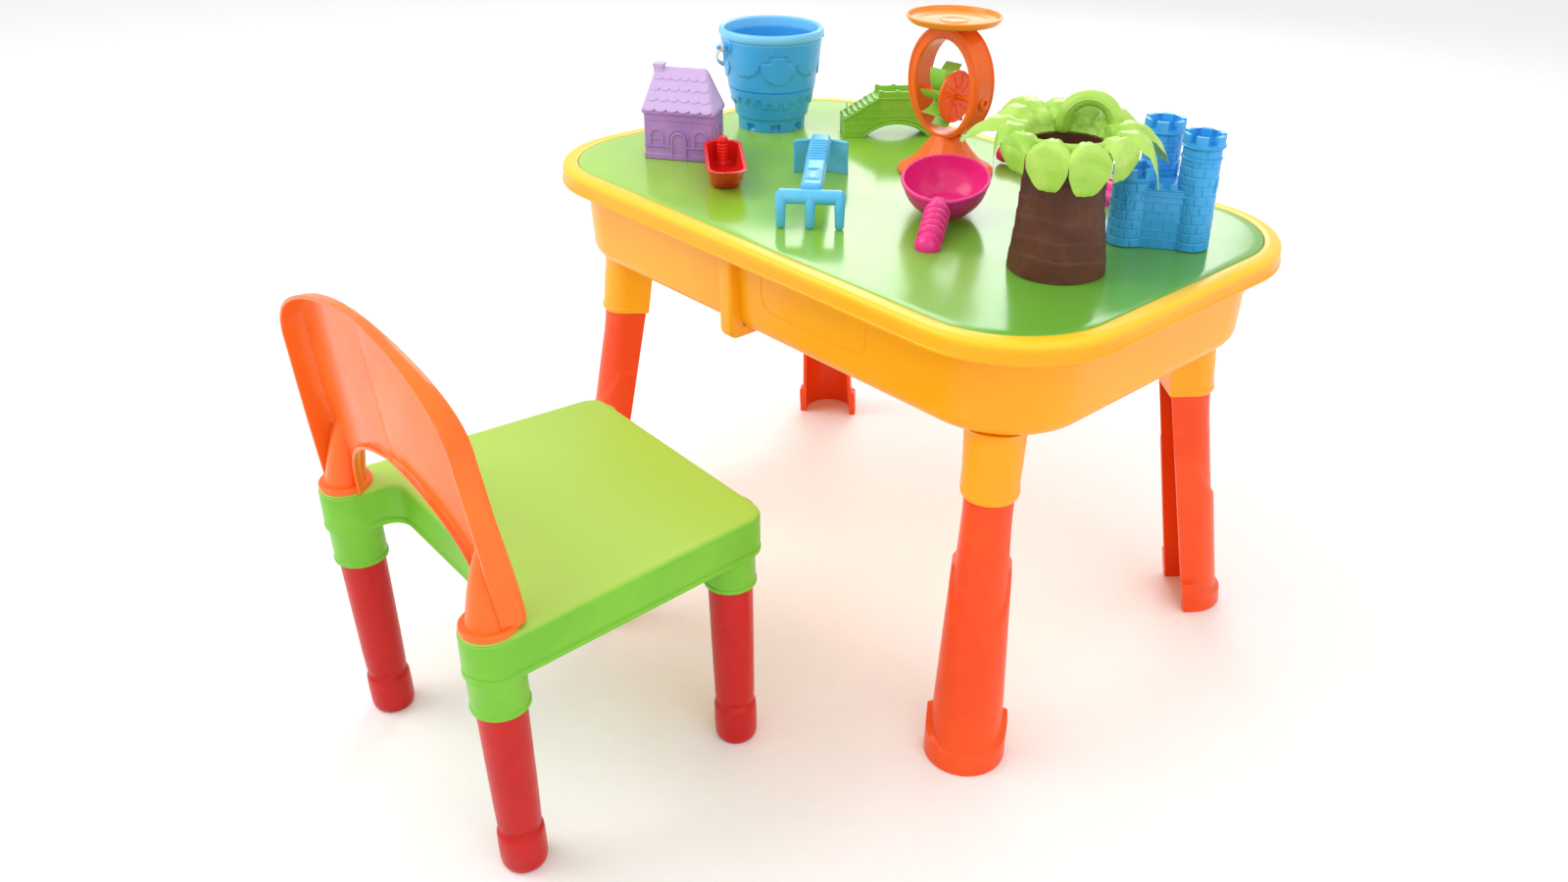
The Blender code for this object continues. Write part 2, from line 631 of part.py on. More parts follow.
def make_house():
    frame = toy("house_frame", HOUSE_PLACE, HOUSE_TURN)
    half_x, half_y = HOUSE[0] / 2, HOUSE[1] / 2

    def body(inset, low, eave, ridge):
        wall = [(-half_x + inset, -half_y + inset), (half_x - inset, -half_y + inset),
                (half_x - inset, half_y - inset), (-half_x + inset, half_y - inset)]
        top_x, top_y = half_x - HOUSE_HIP - inset, 0.0020
        top = [(-top_x, -top_y), (top_x, -top_y), (top_x, top_y), (-top_x, top_y)]
        return loft([at_height(wall, low), at_height(wall, eave), at_height(top, ridge)])

    shell = body(0, 0, HOUSE_EAVE, HOUSE_RIDGE)
    chimney_x = -half_x + HOUSE_HIP - 0.002
    chimney = box((chimney_x, -0.005, HOUSE_EAVE + 0.01), (chimney_x + 0.010, 0.005, CHIMNEY_TOP))
    hollow = body(MOULD_WALL, -0.01, HOUSE_EAVE - MOULD_WALL / 2, HOUSE_RIDGE - 2 * MOULD_WALL)
    shell = cut(union(shell, chimney), hollow)
    return finish(shell, "house_mould", "purple", frame)


def make_bucket():
    frame = toy("bucket_frame", BUCKET_PLACE, BUCKET_TURN)
    wall, rim, base, height = BUCKET_WALL, BUCKET_RIM, BUCKET_BASE, BUCKET_HEIGHT
    bead = 0.0032
    profile = [
        (0, 0.0022), (base - 0.003, 0.0022), (base - 0.0015, 0), (base, 0), (base + 0.0015, 0.0150),
        (base + 0.0040, 0.0160), (rim - 0.0110, 0.0480), (rim - 0.0090, 0.0500),
        (rim - bead, height - 2.4 * bead), (rim + bead * 0.4, height - 2 * bead),
        (rim + bead * 0.4, height - bead * 0.6), (rim - bead * 0.4, height),
        (rim - bead, height - bead * 0.4),
        (rim - bead - wall, height - 2.4 * bead), (rim - 0.0110 - wall, 0.0480),
        (base + 0.0040 - wall, 0.0160), (base - wall, 0.0060), (base - wall - 0.003, 0.0045), (0, 0.0045)]
    bucket = turned(list(reversed(profile)), 32)
    for side in (-1, 1):
        ear = moved(cylinder(0.0016, 0, BAIL_RADIUS + BAIL_WIRE + 0.0030 - (rim - 2 * bead), sides=10),
                    turn=(0, pi / 2, 0))
        ear = moved(ear, (rim - 2 * bead, 0, BAIL_PIVOT_HEIGHT))
        if side < 0:
            ear = moved(ear, turn=(0, 0, pi))
        bucket = union(bucket, ear)
    finish(bucket, "bucket", "blue", frame)

    steps = 20
    route = []
    for i in range(steps + 1):
        turn = pi * i / steps
        out = BAIL_RADIUS * sin(turn)
        route.append((BAIL_RADIUS * cos(turn), out * sin(BAIL_REST), -out * cos(BAIL_REST)))
    bail = tube(route, BAIL_WIRE, 8)
    for side in (-1, 1):
        eye = moved(cylinder(0.0046, -BAIL_WIRE * 0.8, BAIL_WIRE * 0.8, sides=14), turn=(0, pi / 2, 0))
        bail = union(bail, moved(eye, (side * BAIL_RADIUS, 0, 0)))
    for side in (-1, 1):
        hole = moved(cylinder(0.0016 + GAP, -0.006, 0.006, sides=14), turn=(0, pi / 2, 0))
        bail = cut(bail, moved(hole, (side * BAIL_RADIUS, 0, 0)))
    return finish(bail, "bucket_handle", "white", frame, (0, 0, BAIL_PIVOT_HEIGHT))


def make_scoop():
    frame = toy("scoop_frame", SCOOP_PLACE, SCOOP_TURN)

    def body(inset, low, high):
        half, width = SCOOP_LENGTH / 2 - inset, SCOOP_WIDTH / 2 - inset
        corner = 0.006 - inset / 2
        floor = rounded_rectangle((SCOOP_LENGTH - SCOOP_LIP) / 2 - inset, width - 0.003, corner, 3,
                                  (-SCOOP_LIP / 2, 0))
        mouth = rounded_rectangle(half, width, corner, 3)
        return loft([at_height(floor, low), at_height(mouth, high)])

    wall = 0.0020
    scoop = cut(body(0, 0, SCOOP_HEIGHT), body(wall, wall, SCOOP_HEIGHT + 0.0005))
    grip_x = -SCOOP_LENGTH / 2 + 0.012
    grip = cylinder(0.0062, wall * 0.5, SCOOP_HEIGHT + 0.008, (grip_x, 0), 16, 0.0050)
    return finish(union(scoop, grip), "red_scoop", "red", frame)


def make_rake():
    frame = toy("rake_frame", RAKE_PLACE, RAKE_TURN)
    half = RAKE_LENGTH / 2
    top = RAKE_HEAD_HEIGHT
    side, reach = HANDLE_WIDTH / 2, RAKE_PITCH + TINE / 2
    handle = box((-half + 0.0015, -side, top - 0.006), (half - 0.024, side, top + 0.008))
    head = box((half - 0.030, -reach, top - 0.008), (half - 0.004, reach, top))
    tool = union(handle, head)
    for i in (-1, 0, 1):
        low, high = i * RAKE_PITCH - TINE / 2, i * RAKE_PITCH + TINE / 2
        tool = union(tool, box((half - 0.014, low, 0), (half, high, top - 0.001)))
    radius = HOE_CURVE
    blade = arc((-half + radius, 0), radius, pi - 0.56, pi + 0.56, 8)
    blade += arc((-half + radius, 0), radius - 0.0030, pi + 0.56, pi - 0.56, 8)
    tool = union(tool, extruded(blade, 0, top - 0.001))
    return finish(tool, "rake_hoe", "sky", frame)


def make_bridge():
    frame = toy("bridge_frame", BRIDGE_PLACE, BRIDGE_TURN)
    half, deck_half = BRIDGE_LENGTH / 2, BRIDGE_LENGTH / 2 - 0.040
    rise = BRIDGE_ARCH_HEIGHT
    radius = (BRIDGE_ARCH_HALF ** 2 + rise ** 2) / (2 * rise)
    span = atan2(BRIDGE_ARCH_HALF, radius - rise)
    under = arc((0, rise - radius), radius, pi / 2 + span, pi / 2 - span, 10)
    outline = [(-half, 0)] + under + [(half, 0), (half, BRIDGE_END), (deck_half, BRIDGE_DECK),
                                      (-deck_half, BRIDGE_DECK), (-half, BRIDGE_END)]
    body = upright(outline, -BRIDGE_DEPTH / 2, BRIDGE_DEPTH / 2)
    rail = 0.0035
    for side in (-1, 1):
        low = side * (BRIDGE_DEPTH / 2 - rail / 2) - rail / 2
        wall = box((-deck_half, low, BRIDGE_DECK - 0.002), (deck_half, low + rail, BRIDGE_DECK + 0.008))
        body = union(body, wall)
    return finish(body, "bridge_mould", "green", frame)


def make_mill():
    frame = toy("mill_frame_origin", MILL_PLACE, MILL_TURN)
    centre_z = MILL_RING_HEIGHT
    base, spread = MILL_BASE_RADIUS, MILL_BASE_RADIUS - MILL_NECK
    foot = turned(list(reversed([
        (0, 0.0025), (base - 0.003, 0.0025), (base - 0.002, 0), (base, 0), (base, 0.003),
        (MILL_NECK + spread * 0.58, MILL_NECK_HEIGHT * 0.40),
        (MILL_NECK + spread * 0.19, MILL_NECK_HEIGHT * 0.75),
        (MILL_NECK, MILL_NECK_HEIGHT), (0, MILL_NECK_HEIGHT)])), 28)

    def oval(size, height, steps=28):
        turns = [2 * pi * i / steps for i in range(steps)]
        return [(size[0] * cos(t), height + size[1] * sin(t)) for t in turns]

    outer = oval(MILL_RING, centre_z)
    inner = oval(MILL_WINDOW, MILL_WINDOW_HEIGHT)
    depth = MILL_DEPTH / 2
    ring = cut(upright(outer, -depth, depth), upright(inner, -depth - 0.01, depth + 0.01))
    body = union(foot, ring)
    top = centre_z + MILL_RING[1]
    body = union(body, cylinder(0.0120, top - 0.0080, top + 0.0012, sides=20))
    bore = moved(cylinder(AXLE_RADIUS + GAP, -0.08, 0.08, sides=16), turn=(0, pi / 2, 0))
    body = cut(body, moved(bore, (0, 0, MILL_AXLE_HEIGHT)))
    finish(body, "mill_frame", "orange", frame)

    low = top + 0.0012 + GAP
    wall = 0.0020
    dish = turned(list(reversed([
        (0, low), (DISH_RADIUS - 0.0080, low), (DISH_RADIUS - 0.0010, low + 0.0035),
        (DISH_RADIUS, low + DISH_HEIGHT), (DISH_RADIUS - wall, low + DISH_HEIGHT),
        (DISH_RADIUS - 0.0100, low + wall), (0, low + wall)])), 32)
    finish(dish, "mill_dish", "orange", frame)

    hub_place = (0, 0, MILL_AXLE_HEIGHT)
    width, reach = WHEEL_WIDTH, WHEEL_RADIUS
    middle = WHEEL_MIDDLE
    wheel = cylinder(WHEEL_HUB, -width / 2, width / 2, sides=24)
    for i in range(PADDLES):
        blade = box((WHEEL_HUB - 0.003, -0.0011, -width / 2), (reach, 0.0011, width / 2))
        wheel = union(wheel, moved(blade, turn=(0, 0, 2 * pi * i / PADDLES)))
    wheel = cut(wheel, cylinder(AXLE_RADIUS + GAP, -width, width, sides=16))
    wheel = moved(moved(wheel, turn=(0, pi / 2, 0)), (middle, 0, 0))
    finish(wheel, "mill_wheel", "green", frame, hub_place)

    disc_x = middle + width / 2 + GAP + DISC_THICK / 2
    disc = cylinder(DISC_RADIUS, -DISC_THICK / 2, DISC_THICK / 2, sides=32)
    disc = cut(disc, cylinder(AXLE_RADIUS + GAP, -0.01, 0.01, sides=16))
    finish(moved(moved(disc, turn=(0, pi / 2, 0)), (disc_x, 0, 0)), "mill_disc", "orange", frame, hub_place)

    axle_half = MILL_RING[0] - 0.004
    axle = moved(cylinder(AXLE_RADIUS, -axle_half, axle_half, sides=16), turn=(0, pi / 2, 0))
    return finish(axle, "mill_axle", "orange", frame, hub_place)


def make_ladle():
    frame = toy("ladle_frame", LADLE_PLACE, LADLE_TURN)
    radius, depth, wall = LADLE_RADIUS, LADLE_DEPTH, LADLE_WALL
    start = radians(37)
    profile = [(0, -depth * cos(start))]
    steps = 7
    curve = [start + (pi / 2 - start) * i / steps for i in range(steps + 1)]
    profile += [(radius * sin(t), -depth * cos(t)) for t in curve]
    profile += [((radius - wall) * sin(t), -(depth - wall) * cos(t)) for t in reversed(curve)]
    profile += [(0, -(depth - wall) * cos(start))]
    bowl = turned(list(reversed(profile)), 28)
    reach, grip = LADLE_HANDLE, LADLE_HANDLE_RADIUS
    handle = moved(cylinder(grip * 0.86, 0, reach, sides=16), turn=(0, pi / 2, 0))
    tip = bmesh.new()
    bmesh.ops.create_uvsphere(tip, u_segments=16, v_segments=8, radius=grip)
    tip = moved(from_bmesh(tip), (reach, 0, 0))
    handle = moved(union(handle, tip), (radius - 0.003, 0, -grip * 0.55), (0, radians(3), 0))
    inside = cylinder(radius - wall - 0.0004, -grip * 2, grip, sides=28)
    ladle = union(bowl, cut(handle, inside))
    ladle = moved(ladle, turn=(0, LADLE_TILT, 0))
    low = min(vertex.co.z for vertex in ladle.data.vertices)
    return finish(moved(ladle, (0, 0, -low)), "ladle", "magenta", frame)


def make_palm():
    frame = toy("palm_frame", PALM_PLACE, PALM_TURN)
    base, top, height, wall = TRUNK_BASE, TRUNK_TOP, TRUNK_HEIGHT, TRUNK_WALL
    trunk = turned(list(reversed([
        (0, 0), (base - 0.001, 0), (base, 0.0010), ((base + top) / 2 - 0.0015, height * 0.5), (top, height),
        (top - wall, height), ((base + top) / 2 - 0.0015 - wall, height * 0.5), (base - wall, 0.0045),
        (base - wall - 0.002, 0.0030), (0, 0.0030)])), 28)
    finish(trunk, "palm_trunk", "brown", frame)

    bm = bmesh.new()
    columns = []
    count = LEAF_COUNT * LEAF_STEPS
    for i in range(count):
        turn = 2 * pi * i / count
        across = abs(2 * (i % LEAF_STEPS) / LEAF_STEPS - 1)
        middle = 2 * pi * (i // LEAF_STEPS + 0.5) / LEAF_COUNT
        short_side = cos(middle + radians(47)) > 0.35
        toward_castle = cos(middle - radians(85)) > 0.3
        tip = LEAF_SHORT if short_side else (LEAF_MIDDLE if toward_castle else LEAF_LONG)
        start, low = top + 0.0060, height - CROWN_SKIRT
        reach = start + 0.0050 + (tip - start - 0.0050) * (1 - across ** LEAF_ROUND)
        share = (reach - start) / (tip - start)
        leaf = [(start + (reach - start) * t, height + 0.0065 + LEAF_RISE * sin(pi * t) * share
                 - LEAF_DROP * (t * share) ** 2) for t in (0.35, 0.7, 1.0)]
        section = [(top + GAP * 2, height + GAP), (top - wall, height + GAP), (top - wall, height + 0.0045),
                   (start, height + 0.0065)] + leaf
        section += [(r, z - LEAF_THICK) for r, z in reversed(leaf)]
        section += [(start + 0.0005, height - 0.0010), (top + 0.0045, low), (top + 0.0018, low)]
        columns.append([bm.verts.new((r * cos(turn), r * sin(turn), z)) for r, z in section])
    for i, column in enumerate(columns):
        after = columns[(i + 1) % count]
        for k in range(len(column)):
            n = (k + 1) % len(column)
            bm.faces.new((column[k], column[n], after[n], after[k]))
    crown = from_bmesh(bm)
    steps = 12
    half, rise = LOOP
    route = [(half * cos(pi * i / steps), 0.0, height + 0.002 + rise * sin(pi * i / steps))
             for i in range(steps + 1)]
    grip = moved(tube(route, LOOP_RADIUS, 10), turn=(0, 0, LOOP_TURN))
    grip = moved(grip, ((top + 0.002) * cos(LOOP_SIDE), (top + 0.002) * sin(LOOP_SIDE), 0))
    return finish(union(crown, grip), "palm_crown", "green", frame)


def make_shovel():
    frame = toy("shovel_frame", SHOVEL_PLACE, SHOVEL_TURN)
    half, blade = SHOVEL_LENGTH / 2, SHOVEL_BLADE
    arch, wall = SHOVEL_ARCH, SHOVEL_WALL
    section = arc((0, 0), arch, 0, pi, 12) + arc((0, 0), arch - wall, pi, 0, 12)
    pan = loft([[(x, y, z) for y, z in section] for x in (half - blade, half)])
    back = arc((0, 0), arch - wall / 2, 0, pi, 12)
    plate_x = half - blade + GAP
    pan = union(pan, loft([[(x, y, max(z, wall / 2)) for y, z in back] for x in (plate_x, plate_x + wall)]))
    handle = moved(cylinder(0.0065, -half + 0.006, half - blade + wall / 2, sides=14), turn=(0, pi / 2, 0))
    tip = moved(cylinder(0.0085, -half, -half + 0.014, sides=14), turn=(0, pi / 2, 0))
    handle = moved(union(handle, tip), (0, 0, 0.0100))
    shovel = union(pan, handle)
    return finish(shovel, "shovel", "magenta", frame)


def make_castle():
    frame = toy("castle_frame", CASTLE_PLACE, CASTLE_TURN)
    towers = (((0.0250, -0.0095), TOWER_TALL), ((-0.0330, -0.0095), TOWER_LOW),
              ((-0.0080, 0.0320), TOWER_TALL))
    radius, wall = TOWER_RADIUS, MOULD_WALL
    block = box((-0.0330, -0.0230, 0), (0.0250, 0.0240, CASTLE_WALL_HEIGHT))
    for centre, height in towers:
        block = union(block, cylinder(radius, 0, height, centre, 20, radius - 0.0010))
    block = cut(block, box((-0.0300, -0.0205, -0.01), (0.0230, 0.0215, CASTLE_WALL_HEIGHT - wall)))
    for centre, height in towers:
        inner = radius - wall
        block = cut(block, cylinder(inner, -0.012, height - wall, centre, 20, inner - 0.0010))
    notch = radius * 0.36
    for centre, height in towers:
        for turn in (0, pi / 2):
            reach = radius * 1.2
            slot = box((-reach, -notch / 2, height - wall * 0.8), (reach, notch / 2, height + 0.01))
            block = cut(block, moved(moved(slot, turn=(0, 0, turn)), (*centre, 0)))
    return finish(block, "castle_mould", "blue", frame)


# ---------------------------------------------------------------- build

def centre_on_footprint():
    """Shifts the root so that the set stands on Z = 0 with its footprint's middle at the origin."""
    bpy.context.view_layer.update()
    corners = []
    for shape in parts.objects:
        if shape.type == "MESH":
            corners += [shape.matrix_world @ vertex.co for vertex in shape.data.vertices]
    low = Vector(min(c[i] for c in corners) for i in range(3))
    high = Vector(max(c[i] for c in corners) for i in range(3))
    root.location = (-(low.x + high.x) / 2, -(low.y + high.y) / 2, -low.z)
    bpy.context.view_layer.update()
    print("origin shift", [round(value, 5) for value in root.location])


clear_scene()
parts = bpy.data.collections.new(COLLECTION)
bpy.context.scene.collection.children.link(parts)
root = empty("set_origin")
table = empty("table_frame", root)
chair = empty("chair_frame", root, (*CHAIR_PLACE, 0), CHAIR_TURN)

make_tub()
make_lid()
for corner, signs in CORNERS.items():
    make_table_leg(corner, signs)
make_seat()
make_backrest()
for corner, (under_seat, on_floor) in CHAIR_CORNERS.items():
    make_chair_leg(corner, under_seat, on_floor)
make_house()
make_bucket()
make_scoop()
make_rake()
make_bridge()
make_mill()
make_ladle()
make_palm()
make_shovel()
make_castle()
centre_on_footprint()
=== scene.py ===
"""Looks of the kids sand and water table with its chair and beach toys.

Every piece is built in the frame of the part it dresses, in metres, and placed by the same sizes.
"""

from math import atan2, cos, pi, radians, sin, sqrt

import bmesh
import bpy
from mathutils import Matrix, Vector


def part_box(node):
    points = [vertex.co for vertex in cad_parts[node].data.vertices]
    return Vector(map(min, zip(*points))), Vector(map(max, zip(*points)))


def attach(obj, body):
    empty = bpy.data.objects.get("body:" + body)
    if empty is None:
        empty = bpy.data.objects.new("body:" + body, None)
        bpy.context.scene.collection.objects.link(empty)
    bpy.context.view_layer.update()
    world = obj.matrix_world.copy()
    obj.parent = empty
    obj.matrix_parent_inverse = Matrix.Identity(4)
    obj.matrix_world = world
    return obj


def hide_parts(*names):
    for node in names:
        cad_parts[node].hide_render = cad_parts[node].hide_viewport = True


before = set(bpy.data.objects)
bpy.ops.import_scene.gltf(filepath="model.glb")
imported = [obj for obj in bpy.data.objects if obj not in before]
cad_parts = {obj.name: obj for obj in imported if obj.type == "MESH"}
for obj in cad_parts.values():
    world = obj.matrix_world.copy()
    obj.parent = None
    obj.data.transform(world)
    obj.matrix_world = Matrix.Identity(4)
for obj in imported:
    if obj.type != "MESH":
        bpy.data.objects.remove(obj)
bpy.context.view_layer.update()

# ---------------------------------------------------------------- sizes

GAP = 0.0003
LID_HALF = (0.3392, 0.2098)
LID_CORNER, LID_THICK = 0.0986, 0.0060
TABLE_HEIGHT = 0.4400
RIM_WIDTH, RIM_LIP, LIP_WALL = 0.0180, 0.0195, 0.0028
TUB_INSET, TUB_TAPER, TUB_WALL = 0.0260, 0.0045, 0.0025
TUB_DEPTH, TUB_FILLET = 0.1050, 0.0180
DIVIDER_X, DIVIDER_WIDTH = -0.0280, 0.0180
KEEL_HALF, KEEL_BELOW, KEEL_CORNER = 0.2100, 0.0080, 0.0100

LEG_FOOT, LEG_SOCKET = (0.2949, 0.1886), (0.2743, 0.1575)
SOCKET_BOTTOM, SOCKET_WALL = 0.2670, 0.0028
LEG_TURN = radians(51.0)
LEG_TOP_RADIUS, LEG_FOOT_RADIUS = 0.0232, 0.0338
LEG_TOP_STRAIGHT, LEG_FOOT_STRAIGHT = 0.0240, 0.0120
LEG_WALL, FOOT_RADIUS, LEG_TOP = 0.0030, 0.0385, 0.3250
CORNERS = {"front_right": (1, -1), "front_left": (-1, -1), "rear_left": (-1, 1), "rear_right": (1, 1)}

CHAIR_PLACE, CHAIR_TURN = (0.0032, -0.4634), radians(-2.75)
SEAT_HEIGHT, SEAT_APRON, SEAT_WALL = 0.2540, 0.0400, 0.0032
SEAT_FRONT, SEAT_FRONT_CORNER, SEAT_REAR = (0.1430, 0.1600), 0.0200, -0.0700
REAR_POST, FRONT_POST, POST_RADIUS = (0.1343, -0.1060), (0.1128, 0.1360), 0.0249
SLEEVE_RADIUS, SLEEVE_BOTTOM = 0.0243, 0.1770
CHAIR_LEG_RADIUS, CHAIR_LEG_TOP, CHAIR_FOOT_RADIUS = 0.0205, 0.2330, 0.0200
REAR_FOOT, FRONT_FOOT = (0.1310, -0.1002), (0.1206, 0.1346)
BACK_HEIGHT, BACK_HALF, BACK_TAPER = 0.2215, 0.1520, 0.0120
BACK_SHOULDER, BACK_ROUND, BACK_WALL = 0.1460, 2.3, 0.0030
BACK_SIDE, BACK_MIDDLE, BACK_REAR = (-0.0800, -0.1010), (-0.0980, -0.1210), (-0.1040, -0.1285)
ARCH_HALF, ARCH_HEIGHT, PLUG_HEIGHT = 0.1080, 0.0900, 0.0060

RIM_HALF = tuple(side + RIM_WIDTH + GAP for side in LID_HALF)
RIM_CORNER = LID_CORNER + RIM_WIDTH
TUB_BOTTOM = TABLE_HEIGHT - TUB_DEPTH
LEDGE = TABLE_HEIGHT - LID_THICK - GAP
LID_TOP = TABLE_HEIGHT + GAP

lid_low, lid_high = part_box("lid")
MIDDLE = Vector(((lid_low[0] + lid_high[0]) / 2, (lid_low[1] + lid_high[1]) / 2, 0.0))


# ---------------------------------------------------------------- materials

def srgb(red, green, blue):
    """A display colour as scene-linear."""
    return tuple((c / 255 / 12.92) if c <= 10 else ((c / 255 + 0.055) / 1.055) ** 2.4
                 for c in (red, green, blue)) + (1.0,)


def linked(tree, kind, **values):
    node = tree.nodes.new(kind)
    for key, value in values.items():
        if key in node.inputs:
            node.inputs[key].default_value = value
    return node


def plastic(name, light, dark, rough=0.30, cloud=7.0, grain=420.0, depth=0.05, coat=0.35, soft=0.0,
            slope=None, worn=0.10):
    """Moulded plastic: cloudy pigment, a fine grain, flow marks and hairline scuffs in the gloss."""
    made = bpy.data.materials.new(name)
    made.use_nodes = True
    tree = made.node_tree
    shader = tree.nodes["Principled BSDF"]
    shader.inputs["Coat Weight"].default_value = coat
    shader.inputs["Coat Roughness"].default_value = 0.12
    shader.inputs["IOR"].default_value = 1.46
    shader.inputs["Specular IOR Level"].default_value = 0.32
    if soft:
        shader.inputs["Subsurface Weight"].default_value = soft
        shader.inputs["Subsurface Radius"].default_value = (0.006, 0.004, 0.002)
    place = tree.nodes.new("ShaderNodeTexCoord")

    clouds = linked(tree, "ShaderNodeTexNoise", Scale=cloud, Detail=4.0, Roughness=0.55, Distortion=0.6)
    tree.links.new(place.outputs["Object"], clouds.inputs["Vector"])
    ramp = tree.nodes.new("ShaderNodeValToRGB")
    ramp.color_ramp.elements[0].position = 0.36
    ramp.color_ramp.elements[1].position = 0.66
    ramp.color_ramp.elements[0].color = srgb(*dark)
    ramp.color_ramp.elements[1].color = srgb(*light)
    tree.links.new(clouds.outputs["Fac"], ramp.inputs["Fac"])
    colour = ramp.outputs["Color"]
    if slope:
        # painted light and shade: the colour turns along one axis toward a second tint, standing in for lit
        # tops and a sheen falling across a sheet
        axis, near, far, painted_light_tint = slope
        spread = tree.nodes.new("ShaderNodeVectorMath")
        spread.operation = "DOT_PRODUCT"
        spread.inputs[1].default_value = axis
        tree.links.new(place.outputs["Object"], spread.inputs[0])
        share = tree.nodes.new("ShaderNodeMapRange")
        share.interpolation_type = "SMOOTHSTEP"
        share.inputs["From Min"].default_value = near
        share.inputs["From Max"].default_value = far
        tree.links.new(spread.outputs["Value"], share.inputs["Value"])
        blend = tree.nodes.new("ShaderNodeMix")
        blend.data_type = "RGBA"
        blend.inputs[7].default_value = srgb(*painted_light_tint)
        tree.links.new(share.outputs["Result"], blend.inputs[0])
        tree.links.new(colour, blend.inputs[6])
        colour = blend.outputs[2]

    # hairline scuffs: long thin noise, a touch paler and duller than the surface
    stretch = tree.nodes.new("ShaderNodeMapping")
    stretch.inputs["Rotation"].default_value = (0.3, 0.2, 0.7)
    stretch.inputs["Scale"].default_value = (24.0, 520.0, 60.0)
    tree.links.new(place.outputs["Object"], stretch.inputs["Vector"])
    hairs = linked(tree, "ShaderNodeTexNoise", Scale=1.0, Detail=2.0, Roughness=0.4)
    tree.links.new(stretch.outputs["Vector"], hairs.inputs["Vector"])
    scuff = tree.nodes.new("ShaderNodeMapRange")
    scuff.inputs["From Min"].default_value = 0.66
    scuff.inputs["From Max"].default_value = 0.80
    scuff.inputs["To Max"].default_value = worn
    tree.links.new(hairs.outputs["Fac"], scuff.inputs["Value"])
    pale = tree.nodes.new("ShaderNodeMix")
    pale.data_type = "RGBA"
    pale.inputs[7].default_value = srgb(*(min(255, c * 0.6 + 102) for c in light))
    tree.links.new(scuff.outputs["Result"], pale.inputs[0])
    tree.links.new(colour, pale.inputs[6])
    tree.links.new(pale.outputs[2], shader.inputs["Base Color"])

    smears = linked(tree, "ShaderNodeTexNoise", Scale=cloud * 4, Detail=5.0, Roughness=0.6)
    tree.links.new(place.outputs["Object"], smears.inputs["Vector"])
    gloss = tree.nodes.new("ShaderNodeMapRange")
    gloss.inputs["From Min"].default_value = 0.3
    gloss.inputs["From Max"].default_value = 0.7
    gloss.inputs["To Min"].default_value = rough - 0.05
    gloss.inputs["To Max"].default_value = rough + 0.07
    tree.links.new(smears.outputs["Fac"], gloss.inputs["Value"])
    duller = tree.nodes.new("ShaderNodeMath")
    duller.operation = "ADD"
    tree.links.new(gloss.outputs["Result"], duller.inputs[0])
    tree.links.new(scuff.outputs["Result"], duller.inputs[1])
    tree.links.new(duller.outputs["Value"], shader.inputs["Roughness"])

    fine = linked(tree, "ShaderNodeTexNoise", Scale=grain, Detail=2.0, Roughness=0.5)
    tree.links.new(place.outputs["Object"], fine.inputs["Vector"])
    waves = linked(tree, "ShaderNodeTexNoise", Scale=cloud * 1.6, Detail=1.0)
    tree.links.new(place.outputs["Object"], waves.inputs["Vector"])
    low = tree.nodes.new("ShaderNodeBump")
    low.inputs["Strength"].default_value = 0.25
    low.inputs["Distance"].default_value = 0.0012
    tree.links.new(waves.outputs["Fac"], low.inputs["Height"])
    high = tree.nodes.new("ShaderNodeBump")
    high.inputs["Strength"].default_value = depth
    high.inputs["Distance"].default_value = 0.0004
    tree.links.new(fine.outputs["Fac"], high.inputs["Height"])
    tree.links.new(low.outputs["Normal"], high.inputs["Normal"])
    tree.links.new(high.outputs["Normal"], shader.inputs["Normal"])
    return made


